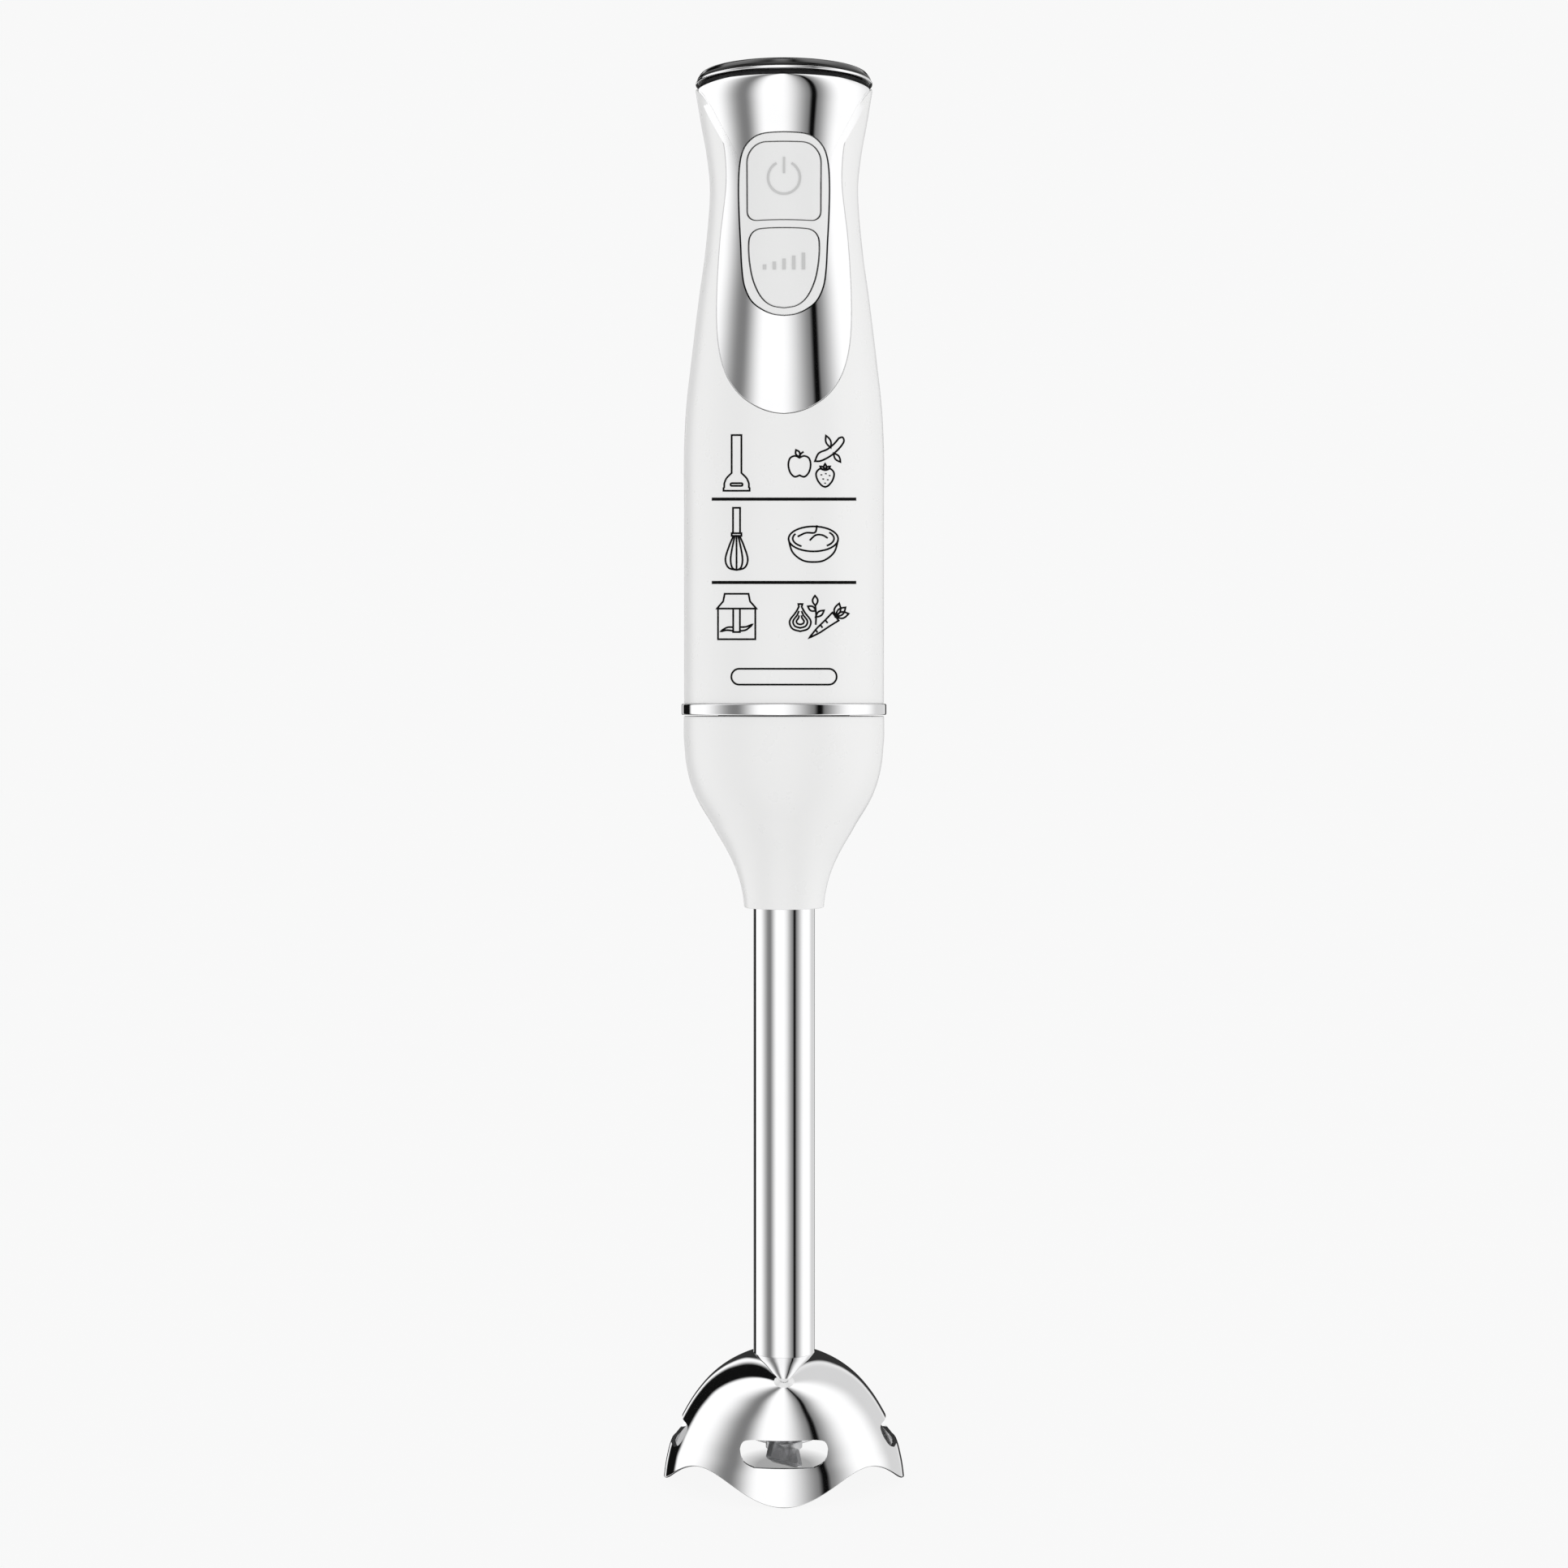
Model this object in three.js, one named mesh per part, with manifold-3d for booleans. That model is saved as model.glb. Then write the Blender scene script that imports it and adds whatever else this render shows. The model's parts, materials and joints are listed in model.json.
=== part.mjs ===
// Immersion blender: a motor handle with two push buttons and a pull-off blending foot.
// Millimetres, +Z up, the front (button side) faces -Y. The long axis is the Z axis, and the
// four tips of the bell's rim stand on z = 0.
//
// The foot is held by a bayonet. As modelled, its L-shaped slots are pushed home over the
// handle's lugs but not yet turned; turning the foot's shell locks them.
import * as THREE from "three";
import { mergeVertices } from "three/addons/utils/BufferGeometryUtils.js";
import Module from "manifold-3d";

const wasm = await Module();
wasm.setup();

// ---------------------------------------------------------------- driving dimensions
const GAP = 0.3; // clearance between neighbouring pieces
const ROUND_LARGE = 32; // facets round the housings
const ROUND_BELL = 40; // facets round the bell, a multiple of four for its lobes
const ROUND_MEDIUM = 20; // facets round motor pieces
const ROUND_SMALL = 12; // facets round shafts, bushes and screws

const HANDLE = { bottom: 212.4, top: 379, radius: 27.3, wall: 2.6 };
// Radius and height along the handle: a straight lower half, a waist, a flared top.
const HANDLE_OUTLINE = [
  [27.3, 281], [26.7, 293], [25.2, 306.4], [23.3, 322], [21.4, 336], [20.2, 351],
  [21.0, 361], [22.6, 370], [24.1, 379],
];
const CAP = { bottom: 380.5, top: 383.6, radius: 23.9, edge: 1.5, plate: 2.2 };
const GASKET = { inner: 20.9, outer: 23.6 };
const CAP_SPIGOT = { outer: 20.4, inner: 18.4, bottom: 374 };
const INLET = { y: 9, bore: 3.7, body: 5.2, flange: 7.2, flangeHeight: 1.4, recess: 0.4 };

// Half-width and height of the chrome front panel, the button frame and the lower button.
const PANEL_OUTLINE = [
  [25, 381.5], [19.6, 372.4], [16.1, 361.5], [15.5, 353.5], [16.2, 345.3], [17.1, 337],
  [18, 320], [17.5, 307.5], [15.2, 299], [9.6, 292.2], [0, 288.8],
];
const PANEL_THICKNESS = 1.3;
const FRAME_OUTLINE = [
  [0, 363.9], [6.2, 363.4], [10.2, 360.6], [12, 355.5], [12.1, 350], [11.5, 335],
  [10.9, 325], [9, 319.7], [5.4, 316.6], [0, 315.1],
];
const FRAME_DEPTH = 3;
const FRAME_PROUD = 0.25;
const POWER = { halfWidth: 9.85, top: 361.4, bottom: 340.9, topCorner: 4.8, bottomCorner: 2.5 };
const TURBO = { halfWidth: 9.4, top: 338.5, bottom: 317.1, topCorner: 2.2, straight: 328 };
const BUTTON = { proud: 0.6, depth: 4.6, flange: 0.8, flangeFrom: 3.4, travel: 2, post: 1.8 };
const SWITCH = { face: -9.6, tip: -9.9, back: -6.1, halfWidth: 3.2, halfHeight: 5, plunger: 1 };
const SWITCH_HEIGHT = { power: 354, turbo: 325 };
const SPRING_HEIGHT = { power: 346, turbo: 333 };
const SPRING = { radius: 2, wire: 0.3, turns: 4, gap: 0.45 };
const BOARD = { front: -5.7, back: -4.1, halfWidth: 9, bottom: 318, top: 360 };
const CARRIER = { thickness: 2, halfWidth: 15, overlap: 2, openingHalfWidth: 6, openingEnd: 6 };
const CLAMP = { halfWidth: 7.5, halfDepth: 2, bottom: 364, top: 366.4, screwX: 5.6 };
const CLAMP_SCREW = { radius: 1.2, bottom: 360.5, head: 1.9, headBottom: 366.7, top: 368.2 };

const SHAFT_RADIUS = 2.5;
const MOTOR_SHAFT = { bottom: 206.6, top: 295.5 };
const STACK = { bottom: 240, top: 268, radius: 22.3, flat: 18, bore: 13.3 };
const COIL = { inner: 11.6, outer: 16, reach: 5.5, build: 4.2, near: 7.4, far: 12.8 };
const ROTOR = { radius: 12.8, teeth: 10, toothHalfAngle: 9, slotFloor: 7.6 };
const WINDING = { radius: 11.2, core: 3.2, bar: 0.9, floor: 8.4, endTurns: 4 };
const COMMUTATOR = { bottom: 279, top: 288.6, radius: 8.2 };
const UPPER_BRACKET = { bottom: 289.3, top: 293.3, radius: 20 };
const LOWER_BRACKET = { bottom: 219.3, top: 222.8, radius: 16.8 };
const PILLAR = { near: 17.2, far: 22.1, halfWidth: 4 };
const BEARING = { bore: 2.8, radius: 5.7, height: 5 };
const BRUSH = { half: 2.5, near: COMMUTATOR.radius + GAP, far: 15, middle: 284.5 };
const BRUSH_HOLDER = { wall: 1.6, near: 9.8, far: 19, pocket: 17.6 };
const FAN = { bottom: 223.8, top: 229.6, radius: 16, plate: 1.2, hub: 5, blades: 8, blade: 1 };
const UPPER_MOUNT = { bottom: 293.6, top: 296.6, inner: 15.5, outer: 19.5 };
const LOWER_MOUNT = { bottom: 215.9, top: 219, inner: 11, outer: 15.5 };
const RETAINER = { bottom: 296.9, top: 299.6, inner: 14.5, outer: 22.6 };

const PLATE = { bottom: 212.4, top: 215.6, radius: 24.3 };
const NOSE = { outer: 18, inner: 15, bottom: 193 };
const GROOVE = { radius: 16.9, bottom: 203.6, top: 206 };
const NOSE_SEAL = { radius: 17.75, halfWidth: 0.5, halfHeight: 0.8, corners: 6 };
const SCREW_BOSSES = { radius: 3.9, from: 21.4, hole: 1.3, top: 226, angles: [-90, 30, 150] };
const SCREW_HEAD = { radius: 2.2, seat: 2.5, sunk: 0.2, height: 1.3 };
const LUG = { radius: 19.5, bottom: 197, top: 200, halfAngle: 9, angles: [-90, 30, 150] };
const TWIST = 25; // degrees from slot mouth to lock
const TRIM_RING = { bottom: 209, top: 212, outer: 28, inner: 18.5 };

const SOCKET = { bore: 18.4, outer: 22, floor: 188, floorTop: 191, top: 208.4, slot: 20 };
const SLOT_PLAY = { angle: 1.2, height: 0.5 };
const SOCKET_HUB = { radius: 7.1, bore: 5.3, bottom: 178 };
const FOOT_HOUSING_OUTLINE = [
  [10.9, 156.3], [11.3, 159.8], [12.2, 163.6], [14.4, 169.8], [18.2, 176.4], [22.2, 183.1],
  [25.1, 189], [26.9, 196.8], [27.4, 203], [27.4, 208.7],
];
const FOOT_HOUSING_WALL = 1.5;
const TUBE = { outer: 8.4, inner: 7.4, bottom: 34.6, top: 187.7 };
const BELL_OUTLINE = [
  [8.4, 34.2], [13.4, 32.2], [18.8, 28.6], [23.4, 24.1], [27, 18.6], [30.2, 11.5],
  [32.1, 5.8], [33, 0],
];
const BELL_CAVITY = [
  [32.2, -2], [31.2, 5.8], [29.1, 11.5], [25.9, 17.8], [22.4, 23], [18, 27.1], [12.6, 30.4],
  [8, 31.4],
];
const BELL = { rim: 33, top: 34.2, lobes: 4, lobeRise: 4, hub: 8, hubBottom: 17, bore: 5.8 };
const BELL_SPIGOT = { radius: 7.1, bottom: 33, top: 42 };
const WINDOW = { bottom: 9.6, top: 16.6, halfWidth: 11.7 };
const LOWER_BUSH = { bottom: 22, top: 33 };
const UPPER_BUSH = { bottom: 180, top: 190.6 };
const SEAL = { bottom: 17.4, top: 21.6 };
const BLADE_SHAFT = { bottom: 5.7, top: 194.2 };
const BLADE = { thickness: 1.2, length: 21, halfChord: 5, halfRoot: 4, tipCorner: 3, pitch: 14 };
const BLADE_HUB = { radius: 5, bottom: 7.8, height: 2.4 };
const NUT = { radius: 4, bottom: 3.8, top: 7.4 };
const DRIVEN_DOG = { bottom: 191.4, top: 203, radius: 9, floor: 195.5 };
const DRIVE_DOG = { bottom: 196, top: 211.6, lobes: 208, hub: 5 };
const DOG_LOBE = { half: 1.7, length: 6, play: 0.4 };

// ---------------------------------------------------------------- solids
const ORIGIN = new THREE.Vector2(0, 0);
const radians = THREE.MathUtils.degToRad;

// A closed geometry as a manifold-3d solid, with its faces turned outwards.
function solid(geometry) {
  geometry.deleteAttribute("normal");
  geometry.deleteAttribute("uv");
  const merged = mergeVertices(geometry, 1e-4);
  const corners = merged.index.array;
  const places = merged.attributes.position.array;
  const triVerts = [];
  let volume = 0;
  for (let i = 0; i < corners.length; i += 3) {
    const [a, b, c] = [corners[i], corners[i + 1], corners[i + 2]];
    if (a === b || b === c || c === a) continue;
    triVerts.push(a, b, c);
    const [p, q, r] = [a, b, c].map((k) => new THREE.Vector3().fromArray(places, 3 * k));
    volume += p.dot(q.cross(r));
  }
  if (volume < 0) triVerts.reverse();
  const mesh = new wasm.Mesh({
    numProp: 3,
    vertProperties: places,
    triVerts: new Uint32Array(triVerts),
  });
  return new wasm.Manifold(mesh);
}

function geometryOf(body) {
  const mesh = body.getMesh();
  return new THREE.BufferGeometry()
    .setAttribute("position", new THREE.BufferAttribute(mesh.vertProperties.slice(), 3))
    .setIndex(new THREE.BufferAttribute(mesh.triVerts.slice(), 1))
    .toNonIndexed();
}

// A profile of [radius, height] pairs turned about the Z axis.
function turned(profile, facets = ROUND_MEDIUM) {
  const points = profile.map(([radius, height]) => new THREE.Vector2(radius, height));
  const closed = profile[0][0] > 0 || profile.at(-1)[0] > 0;
  if (closed) points.push(points[0].clone());
  return solid(new THREE.LatheGeometry(points, facets).rotateX(Math.PI / 2));
}

function disc(radius, bottom, top, facets = ROUND_MEDIUM) {
  return turned([[0, bottom], [radius, bottom], [radius, top], [0, top]], facets);
}

function ring(inner, outer, bottom, top, facets = ROUND_MEDIUM) {
  return turned([[inner, bottom], [outer, bottom], [outer, top], [inner, top]], facets);
}

function box(x0, x1, y0, y1, z0, z1) {
  const geometry = new THREE.BoxGeometry(x1 - x0, y1 - y0, z1 - z0);
  return solid(geometry.translate((x0 + x1) / 2, (y0 + y1) / 2, (z0 + z1) / 2));
}

// A shape drawn in X and Y, standing from bottom to top.
function upright(shape, bottom, top, curveSegments = 4) {
  const options = { depth: top - bottom, bevelEnabled: false, curveSegments };
  return solid(new THREE.ExtrudeGeometry(shape, options).translate(0, 0, bottom));
}

// A shape drawn in X and Z, running along Y from front to back.
function through(shape, front, back, curveSegments = 4) {
  const options = { depth: back - front, bevelEnabled: false, curveSegments };
  const geometry = new THREE.ExtrudeGeometry(shape, options).rotateX(Math.PI / 2);
  return solid(geometry.translate(0, back, 0));
}

function turnedBy(body, angle) {
  return body.rotate([0, 0, angle]);
}

// A slice of a ring, between two angles in degrees measured from +X.
function sector(inner, outer, bottom, top, from, to) {
  const shape = new THREE.Shape();
  shape.absarc(0, 0, outer, radians(from), radians(to), false);
  shape.absarc(0, 0, inner, radians(to), radians(from), true);
  shape.closePath();
  return upright(shape, bottom, top, 4);
}

// The outline given by its right half, [half-width, height] from top to bottom, moved
// outwards by grow.
function mirroredShape(half, grow = 0) {
  const outline = half.map(([x, z]) => new THREE.Vector2(x, z));
  const moved = outline.map((point, i) => {
    const before = outline[Math.max(i - 1, 0)];
    const after = outline[Math.min(i + 1, outline.length - 1)];
    const along = after.clone().sub(before).normalize();
    const onAxis = point.x === 0;
    const outwards = onAxis
      ? new THREE.Vector2(0, i === 0 ? 1 : -1)
      : new THREE.Vector2(-along.y, along.x);
    return point.clone().addScaledVector(outwards, grow);
  });
  const mirrored = moved
    .filter((point) => point.x > 0)
    .reverse()
    .map((point) => new THREE.Vector2(-point.x, point.y));
  return new THREE.Shape([...moved, ...mirrored]);
}

// The upper button: straight sides, with larger corners at the top.
function powerShape(grow = 0) {
  const width = POWER.halfWidth + grow;
  const top = POWER.top + grow;
  const bottom = POWER.bottom - grow;
  const high = POWER.topCorner + grow;
  const low = POWER.bottomCorner + grow;
  const shape = new THREE.Shape();
  shape.moveTo(-width + low, bottom);
  shape.absarc(width - low, bottom + low, low, -Math.PI / 2, 0, false);
  shape.absarc(width - high, top - high, high, 0, Math.PI / 2, false);
  shape.absarc(-width + high, top - high, high, Math.PI / 2, Math.PI, false);
  shape.absarc(-width + low, bottom + low, low, Math.PI, 1.5 * Math.PI, false);
  return shape;
}

// The lower button: small corners at the top, and a half-ellipse as its bottom.
function turboShape(grow = 0) {
  const width = TURBO.halfWidth + grow;
  const top = TURBO.top + grow;
  const corner = TURBO.topCorner + grow;
  const bow = TURBO.straight - TURBO.bottom + grow;
  const shape = new THREE.Shape();
  shape.absellipse(0, TURBO.straight, width, bow, Math.PI, 2 * Math.PI, false, 0);
  shape.absarc(width - corner, top - corner, corner, 0, Math.PI / 2, false);
  shape.absarc(-width + corner, top - corner, corner, Math.PI / 2, Math.PI, false);
  return shape;
}

// ---------------------------------------------------------------- materials and placing
function finish(color, roughness, metalness = 0) {
  return { color, roughness, metalness };
}

const FINISHES = {
  white: finish(0xe9e9e7, 0.3),
  chrome: finish(0xd9dadc, 0.06, 1),
  buttonPlastic: finish(0xdcdddc, 0.38),
  darkPlastic: finish(0x2a2b2d, 0.5),
  greyPlastic: finish(0x8f9294, 0.5),
  rubber: finish(0x1a1a1b, 0.8),
  steel: finish(0xb9bbbd, 0.3, 1),
  bladeSteel: finish(0xc3c5c7, 0.2, 1),
  lamination: finish(0x6c6f73, 0.55, 1),
  copper: finish(0xb4662f, 0.35, 1),
  bronze: finish(0x9a7442, 0.4, 1),
  carbon: finish(0x161617, 0.9),
  board: finish(0x2f5b3a, 0.5),
};

function add(group, name, body, finishName) {
  const material = new THREE.MeshStandardMaterial(FINISHES[finishName]);
  const mesh = new THREE.Mesh(geometryOf(body), material);
  mesh.name = name;
  group.add(mesh);
  return mesh;
}

function newGroup(parent) {
  const group = new THREE.Group();
  parent.add(group);
  return group;
}

// ---------------------------------------------------------------- handle housings
const handleCurve = new THREE.SplineCurve(
  HANDLE_OUTLINE.map(([radius, height]) => new THREE.Vector2(radius, height)),
);
const HANDLE_SURFACE = [
  [HANDLE.radius, HANDLE.bottom],
  ...handleCurve.getPoints(10).map((point) => [point.x, point.y]),
];

// The handle's outer surface as a filled solid, moved outwards by offset.
function handleCore(offset) {
  const side = HANDLE_SURFACE.map(([radius, height]) => [radius + offset, height]);
  return turned([[0, HANDLE.bottom], ...side, [0, HANDLE.top]], ROUND_LARGE);
}

// A skin of the handle between two depths below its outer surface.
function handleSkin(outerDepth, innerDepth) {
  const lower = HANDLE.radius - innerDepth;
  const upper = HANDLE_SURFACE.at(-1)[0] - innerDepth;
  const hollow = handleCore(-innerDepth)
    .add(disc(lower, HANDLE.bottom - 1, HANDLE.bottom + 1, ROUND_LARGE))
    .add(disc(upper, HANDLE.top - 1, HANDLE.top + 1, ROUND_LARGE));
  return handleCore(-outerDepth).subtract(hollow);
}

const FRONT = -40; // further out than any front surface
const frameWindow = through(mirroredShape(FRAME_OUTLINE, GAP), FRONT, 0);
const panelRegion = through(mirroredShape(PANEL_OUTLINE), FRONT, 0);

function placeAt(body, radius, angle) {
  return body.translate([radius * Math.cos(radians(angle)), radius * Math.sin(radians(angle)), 0]);
}

function bodyShell() {
  let shell = handleSkin(0, HANDLE.wall);
  for (const angle of SCREW_BOSSES.angles) {
    const boss = disc(SCREW_BOSSES.radius, PLATE.top + GAP, SCREW_BOSSES.top, ROUND_SMALL);
    shell = shell.add(placeAt(boss, SCREW_BOSSES.from, angle));
  }
  for (const angle of SCREW_BOSSES.angles) {
    const hole = disc(SCREW_BOSSES.hole + GAP, PLATE.top, SCREW_BOSSES.top - 2, ROUND_SMALL);
    shell = shell.subtract(placeAt(hole, SCREW_BOSSES.from, angle));
  }
  const recess = through(mirroredShape(PANEL_OUTLINE, GAP), FRONT, 0).subtract(
    handleCore(-PANEL_THICKNESS - GAP),
  );
  return shell.subtract(recess).subtract(frameWindow);
}

function frontPanel() {
  return handleSkin(0, PANEL_THICKNESS).intersect(panelRegion).subtract(frameWindow);
}

function buttonFrame() {
  return handleCore(FRAME_PROUD)
    .subtract(handleCore(-FRAME_DEPTH))
    .intersect(through(mirroredShape(FRAME_OUTLINE), FRONT, 0))
    .subtract(through(powerShape(GAP), FRONT, 0))
    .subtract(through(turboShape(GAP), FRONT, 0));
}

function topCap() {
  const shoulder = CAP.radius - CAP.edge;
  const under = CAP.top - CAP.plate;
  const profile = [
    [0, CAP.top], [shoulder, CAP.top], [CAP.radius - 0.4, CAP.top - 0.5],
    [CAP.radius, CAP.top - CAP.edge], [CAP.radius, CAP.bottom], [CAP_SPIGOT.outer, CAP.bottom],
    [CAP_SPIGOT.outer, CAP_SPIGOT.bottom], [CAP_SPIGOT.inner, CAP_SPIGOT.bottom],
    [CAP_SPIGOT.inner, under], [0, under],
  ];
  const hole = disc(INLET.body + GAP, under - 1, CAP.top + 1, ROUND_SMALL);
  return turned(profile, ROUND_LARGE).subtract(hole.translate([0, INLET.y, 0]));
}

function cordGland() {
  const under = CAP.top - CAP.plate - GAP;
  const lip = CAP.top - INLET.recess;
  const profile = [
    [INLET.bore, under - INLET.flangeHeight], [INLET.flange, under - INLET.flangeHeight],
    [INLET.flange, under], [INLET.body, under], [INLET.body, lip], [INLET.bore, lip],
  ];
  return turned(profile, ROUND_SMALL).translate([0, INLET.y, 0]);
}

// ---------------------------------------------------------------- buttons and switches
function handleRadiusAt(height) {
  const above = HANDLE_SURFACE.findIndex(([, z]) => z >= height);
  const [r0, z0] = HANDLE_SURFACE[above - 1];
  const [r1, z1] = HANDLE_SURFACE[above];
  return r0 + ((r1 - r0) * (height - z0)) / (z1 - z0);
}

function buttonBack(height) {
  return -(handleRadiusAt(height) - BUTTON.depth);
}

// A button: a skin in the handle's own curve, a retaining flange behind the frame, and a post
// that reaches back to the switch.
function button(shapeOf, postHeight) {
  const face = handleCore(BUTTON.proud)
    .subtract(handleCore(-BUTTON.depth))
    .intersect(through(shapeOf(0), FRONT, 0));
  const flange = handleCore(-BUTTON.flangeFrom)
    .subtract(handleCore(-BUTTON.depth))
    .intersect(through(shapeOf(BUTTON.flange), FRONT, 0));
  const post = new THREE.Shape().absarc(0, postHeight, BUTTON.post, 0, 2 * Math.PI, false);
  const tip = SWITCH.tip - BUTTON.travel - GAP;
  return face.add(flange).add(through(post, buttonBack(postHeight) - 1, tip, 4));
}

class Helix extends THREE.Curve {
  constructor(height, front, back) {
    super();
    Object.assign(this, { height, front, back });
  }
  getPoint(t, target = new THREE.Vector3()) {
    const angle = 2 * Math.PI * SPRING.turns * t;
    const x = SPRING.radius * Math.cos(angle);
    const z = this.height + SPRING.radius * Math.sin(angle);
    return target.set(x, THREE.MathUtils.lerp(this.front, this.back, t), z);
  }
}

function returnSpring(height) {
  const front = buttonBack(height) + SPRING.gap + GAP;
  const extrudePath = new Helix(height, front, BOARD.front - SPRING.gap - GAP);
  const wire = new THREE.Shape().absarc(0, 0, SPRING.wire, 0, 2 * Math.PI, false);
  const steps = 7 * SPRING.turns;
  const options = { extrudePath, steps, curveSegments: 3, bevelEnabled: false };
  return solid(new THREE.ExtrudeGeometry(wire, options));
}

function microSwitch() {
  const { face, tip, back, halfWidth, halfHeight, plunger } = SWITCH;
  const body = box(-halfWidth, halfWidth, face, back, -halfHeight, halfHeight);
  return body.add(box(-plunger, plunger, tip, face + plunger, -plunger, plunger));
}

function circuitBoard() {
  return box(-BOARD.halfWidth, BOARD.halfWidth, BOARD.front, BOARD.back, BOARD.bottom, BOARD.top);
}

// A plate behind the board, with a large opening.
function switchCarrier() {
  const { thickness, halfWidth, overlap, openingHalfWidth: opening, openingEnd } = CARRIER;
  const front = BOARD.back + GAP;
  const back = front + thickness;
  const low = BOARD.bottom + openingEnd;
  const high = BOARD.top - openingEnd;
  return box(-halfWidth, halfWidth, front, back, BOARD.bottom - overlap, BOARD.top + overlap)
    .subtract(box(-opening, opening, front - 1, back + 1, low, high));
}

// The bar that pinches the mains lead against the cap's underside, and one of its screws.
function cordClamp() {
  const { halfWidth, halfDepth, bottom, top, screwX } = CLAMP;
  const hole = disc(CLAMP_SCREW.radius + GAP, bottom - 1, top + 1, ROUND_SMALL);
  return box(-halfWidth, halfWidth, INLET.y - halfDepth, INLET.y + halfDepth, bottom, top)
    .subtract(hole.translate([-screwX, INLET.y, 0]))
    .subtract(hole.translate([screwX, INLET.y, 0]));
}

function clampScrew() {
  const { radius, bottom, head, headBottom, top } = CLAMP_SCREW;
  return disc(radius, bottom, headBottom + GAP, ROUND_SMALL)
    .add(disc(head, headBottom, top, ROUND_SMALL));
}

// ---------------------------------------------------------------- motor
function statorStack() {
  const round = disc(STACK.radius, STACK.bottom, STACK.top, ROUND_LARGE);
  const flats = box(-30, 30, -STACK.flat, STACK.flat, STACK.bottom - 1, STACK.top + 1);
  const bore = disc(STACK.bore, STACK.bottom - 1, STACK.top + 1);
  const inner = COIL.inner - GAP;
  const outer = COIL.outer + GAP;
  const far = COIL.far + GAP;
  const slot = box(inner, outer, -far, far, STACK.bottom - 1, STACK.top + 1);
  const oppositeSlot = box(-outer, -inner, -far, far, STACK.bottom - 1, STACK.top + 1);
  return round.intersect(flats).subtract(bore).subtract(slot).subtract(oppositeSlot);
}

// A field coil wound round one pole: a rectangular loop facing the rotor.
function fieldCoil() {
  const { inner, outer, reach, build, near, far } = COIL;
  const low = STACK.bottom - reach;
  const high = STACK.top + reach;
  return box(-outer, outer, -far, -near, low - build, high + build)
    .subtract(box(-inner, inner, -far - 1, -near + 1, low, high));
}

function pillars(bottom, top) {
  const right = box(PILLAR.near, PILLAR.far, -PILLAR.halfWidth, PILLAR.halfWidth, bottom, top);
  return right.add(turnedBy(right, 180));
}

function bracket(plate, pillarBottom, pillarTop) {
  const reach = PILLAR.far;
  return disc(plate.radius, plate.bottom, plate.top)
    .add(box(-reach, reach, -PILLAR.halfWidth, PILLAR.halfWidth, plate.bottom, plate.top))
    .add(pillars(pillarBottom, pillarTop))
    .subtract(disc(BEARING.radius + GAP, plate.bottom - 1, plate.top + 1));
}

function bearing(middle) {
  const half = BEARING.height / 2;
  return ring(BEARING.bore, BEARING.radius, middle - half, middle + half);
}

function brush() {
  const { half, near, far, middle } = BRUSH;
  return box(-half, half, -far, -near, middle - half, middle + half);
}

function brushHolder() {
  const { half, middle } = BRUSH;
  const { wall, near, far, pocket } = BRUSH_HOLDER;
  const hole = half + GAP;
  const outer = half + wall;
  return box(-outer, outer, -far, -near, middle - outer, middle + outer)
    .subtract(box(-hole, hole, -pocket, -near + 1, middle - hole, middle + hole));
}

function hoop({ inner, outer, bottom, top }, facets = ROUND_MEDIUM) {
  return ring(inner, outer, bottom, top, facets);
}

function shaft({ bottom, top }) {
  return disc(SHAFT_RADIUS, bottom, top, ROUND_SMALL);
}

// ---------------------------------------------------------------- rotor
const slotAngle = 360 / ROTOR.teeth;

// The toothed stack: each tooth's rim, then the floor of the slot that follows it.
function armatureCore() {
  const half = ROTOR.toothHalfAngle;
  const taper = 2;
  const corners = [];
  for (let i = 0; i < ROTOR.teeth; i++) {
    const turn = radians(i * slotAngle);
    const around = (radius, angle) => {
      corners.push(new THREE.Vector2(radius, 0).rotateAround(ORIGIN, turn + radians(angle)));
    };
    for (const angle of [-half, 0, half]) around(ROTOR.radius, angle);
    for (const angle of [half + taper, slotAngle - half - taper]) around(ROTOR.slotFloor, angle);
  }
  const shape = new THREE.Shape(corners);
  const bore = disc(SHAFT_RADIUS + GAP, STACK.bottom - 1, STACK.top + 1, ROUND_SMALL);
  return upright(shape, STACK.bottom, STACK.top).subtract(bore);
}

// The winding as one body: a bar in each slot, joined by the end turns above and below.
function armatureWinding() {
  const { radius, core, bar: half, floor, endTurns } = WINDING;
  const low = STACK.bottom - GAP;
  const high = STACK.top + GAP;
  let winding = ring(core, radius, low - endTurns, low);
  winding = winding.add(ring(core, radius, high, high + endTurns));
  for (let i = 0; i < ROTOR.teeth; i++) {
    const bar = box(floor, radius, -half, half, low - 1, high + 1);
    winding = winding.add(turnedBy(bar, (i + 0.5) * slotAngle));
  }
  return winding;
}

function coolingFan() {
  const half = FAN.blade / 2;
  let fan = disc(FAN.radius, FAN.bottom, FAN.bottom + FAN.plate);
  fan = fan.add(disc(FAN.hub, FAN.bottom, FAN.top));
  for (let i = 0; i < FAN.blades; i++) {
    const vane = box(FAN.hub - 1, FAN.radius - half, -half, half, FAN.bottom + half, FAN.top);
    fan = fan.add(turnedBy(vane, (i * 360) / FAN.blades));
  }
  return fan.subtract(disc(SHAFT_RADIUS + GAP, FAN.bottom - 1, FAN.top + 1, ROUND_SMALL));
}

// The four-lobed cross that carries the drive, as seen along the shaft.
function lobes(half, length) {
  const corners = [];
  for (let i = 0; i < 4; i++) {
    for (const [x, y] of [[length, -half], [length, half], [half, half]]) {
      corners.push(new THREE.Vector2(x, y).rotateAround(ORIGIN, (i * Math.PI) / 2));
    }
  }
  return new THREE.Shape(corners);
}

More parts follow.
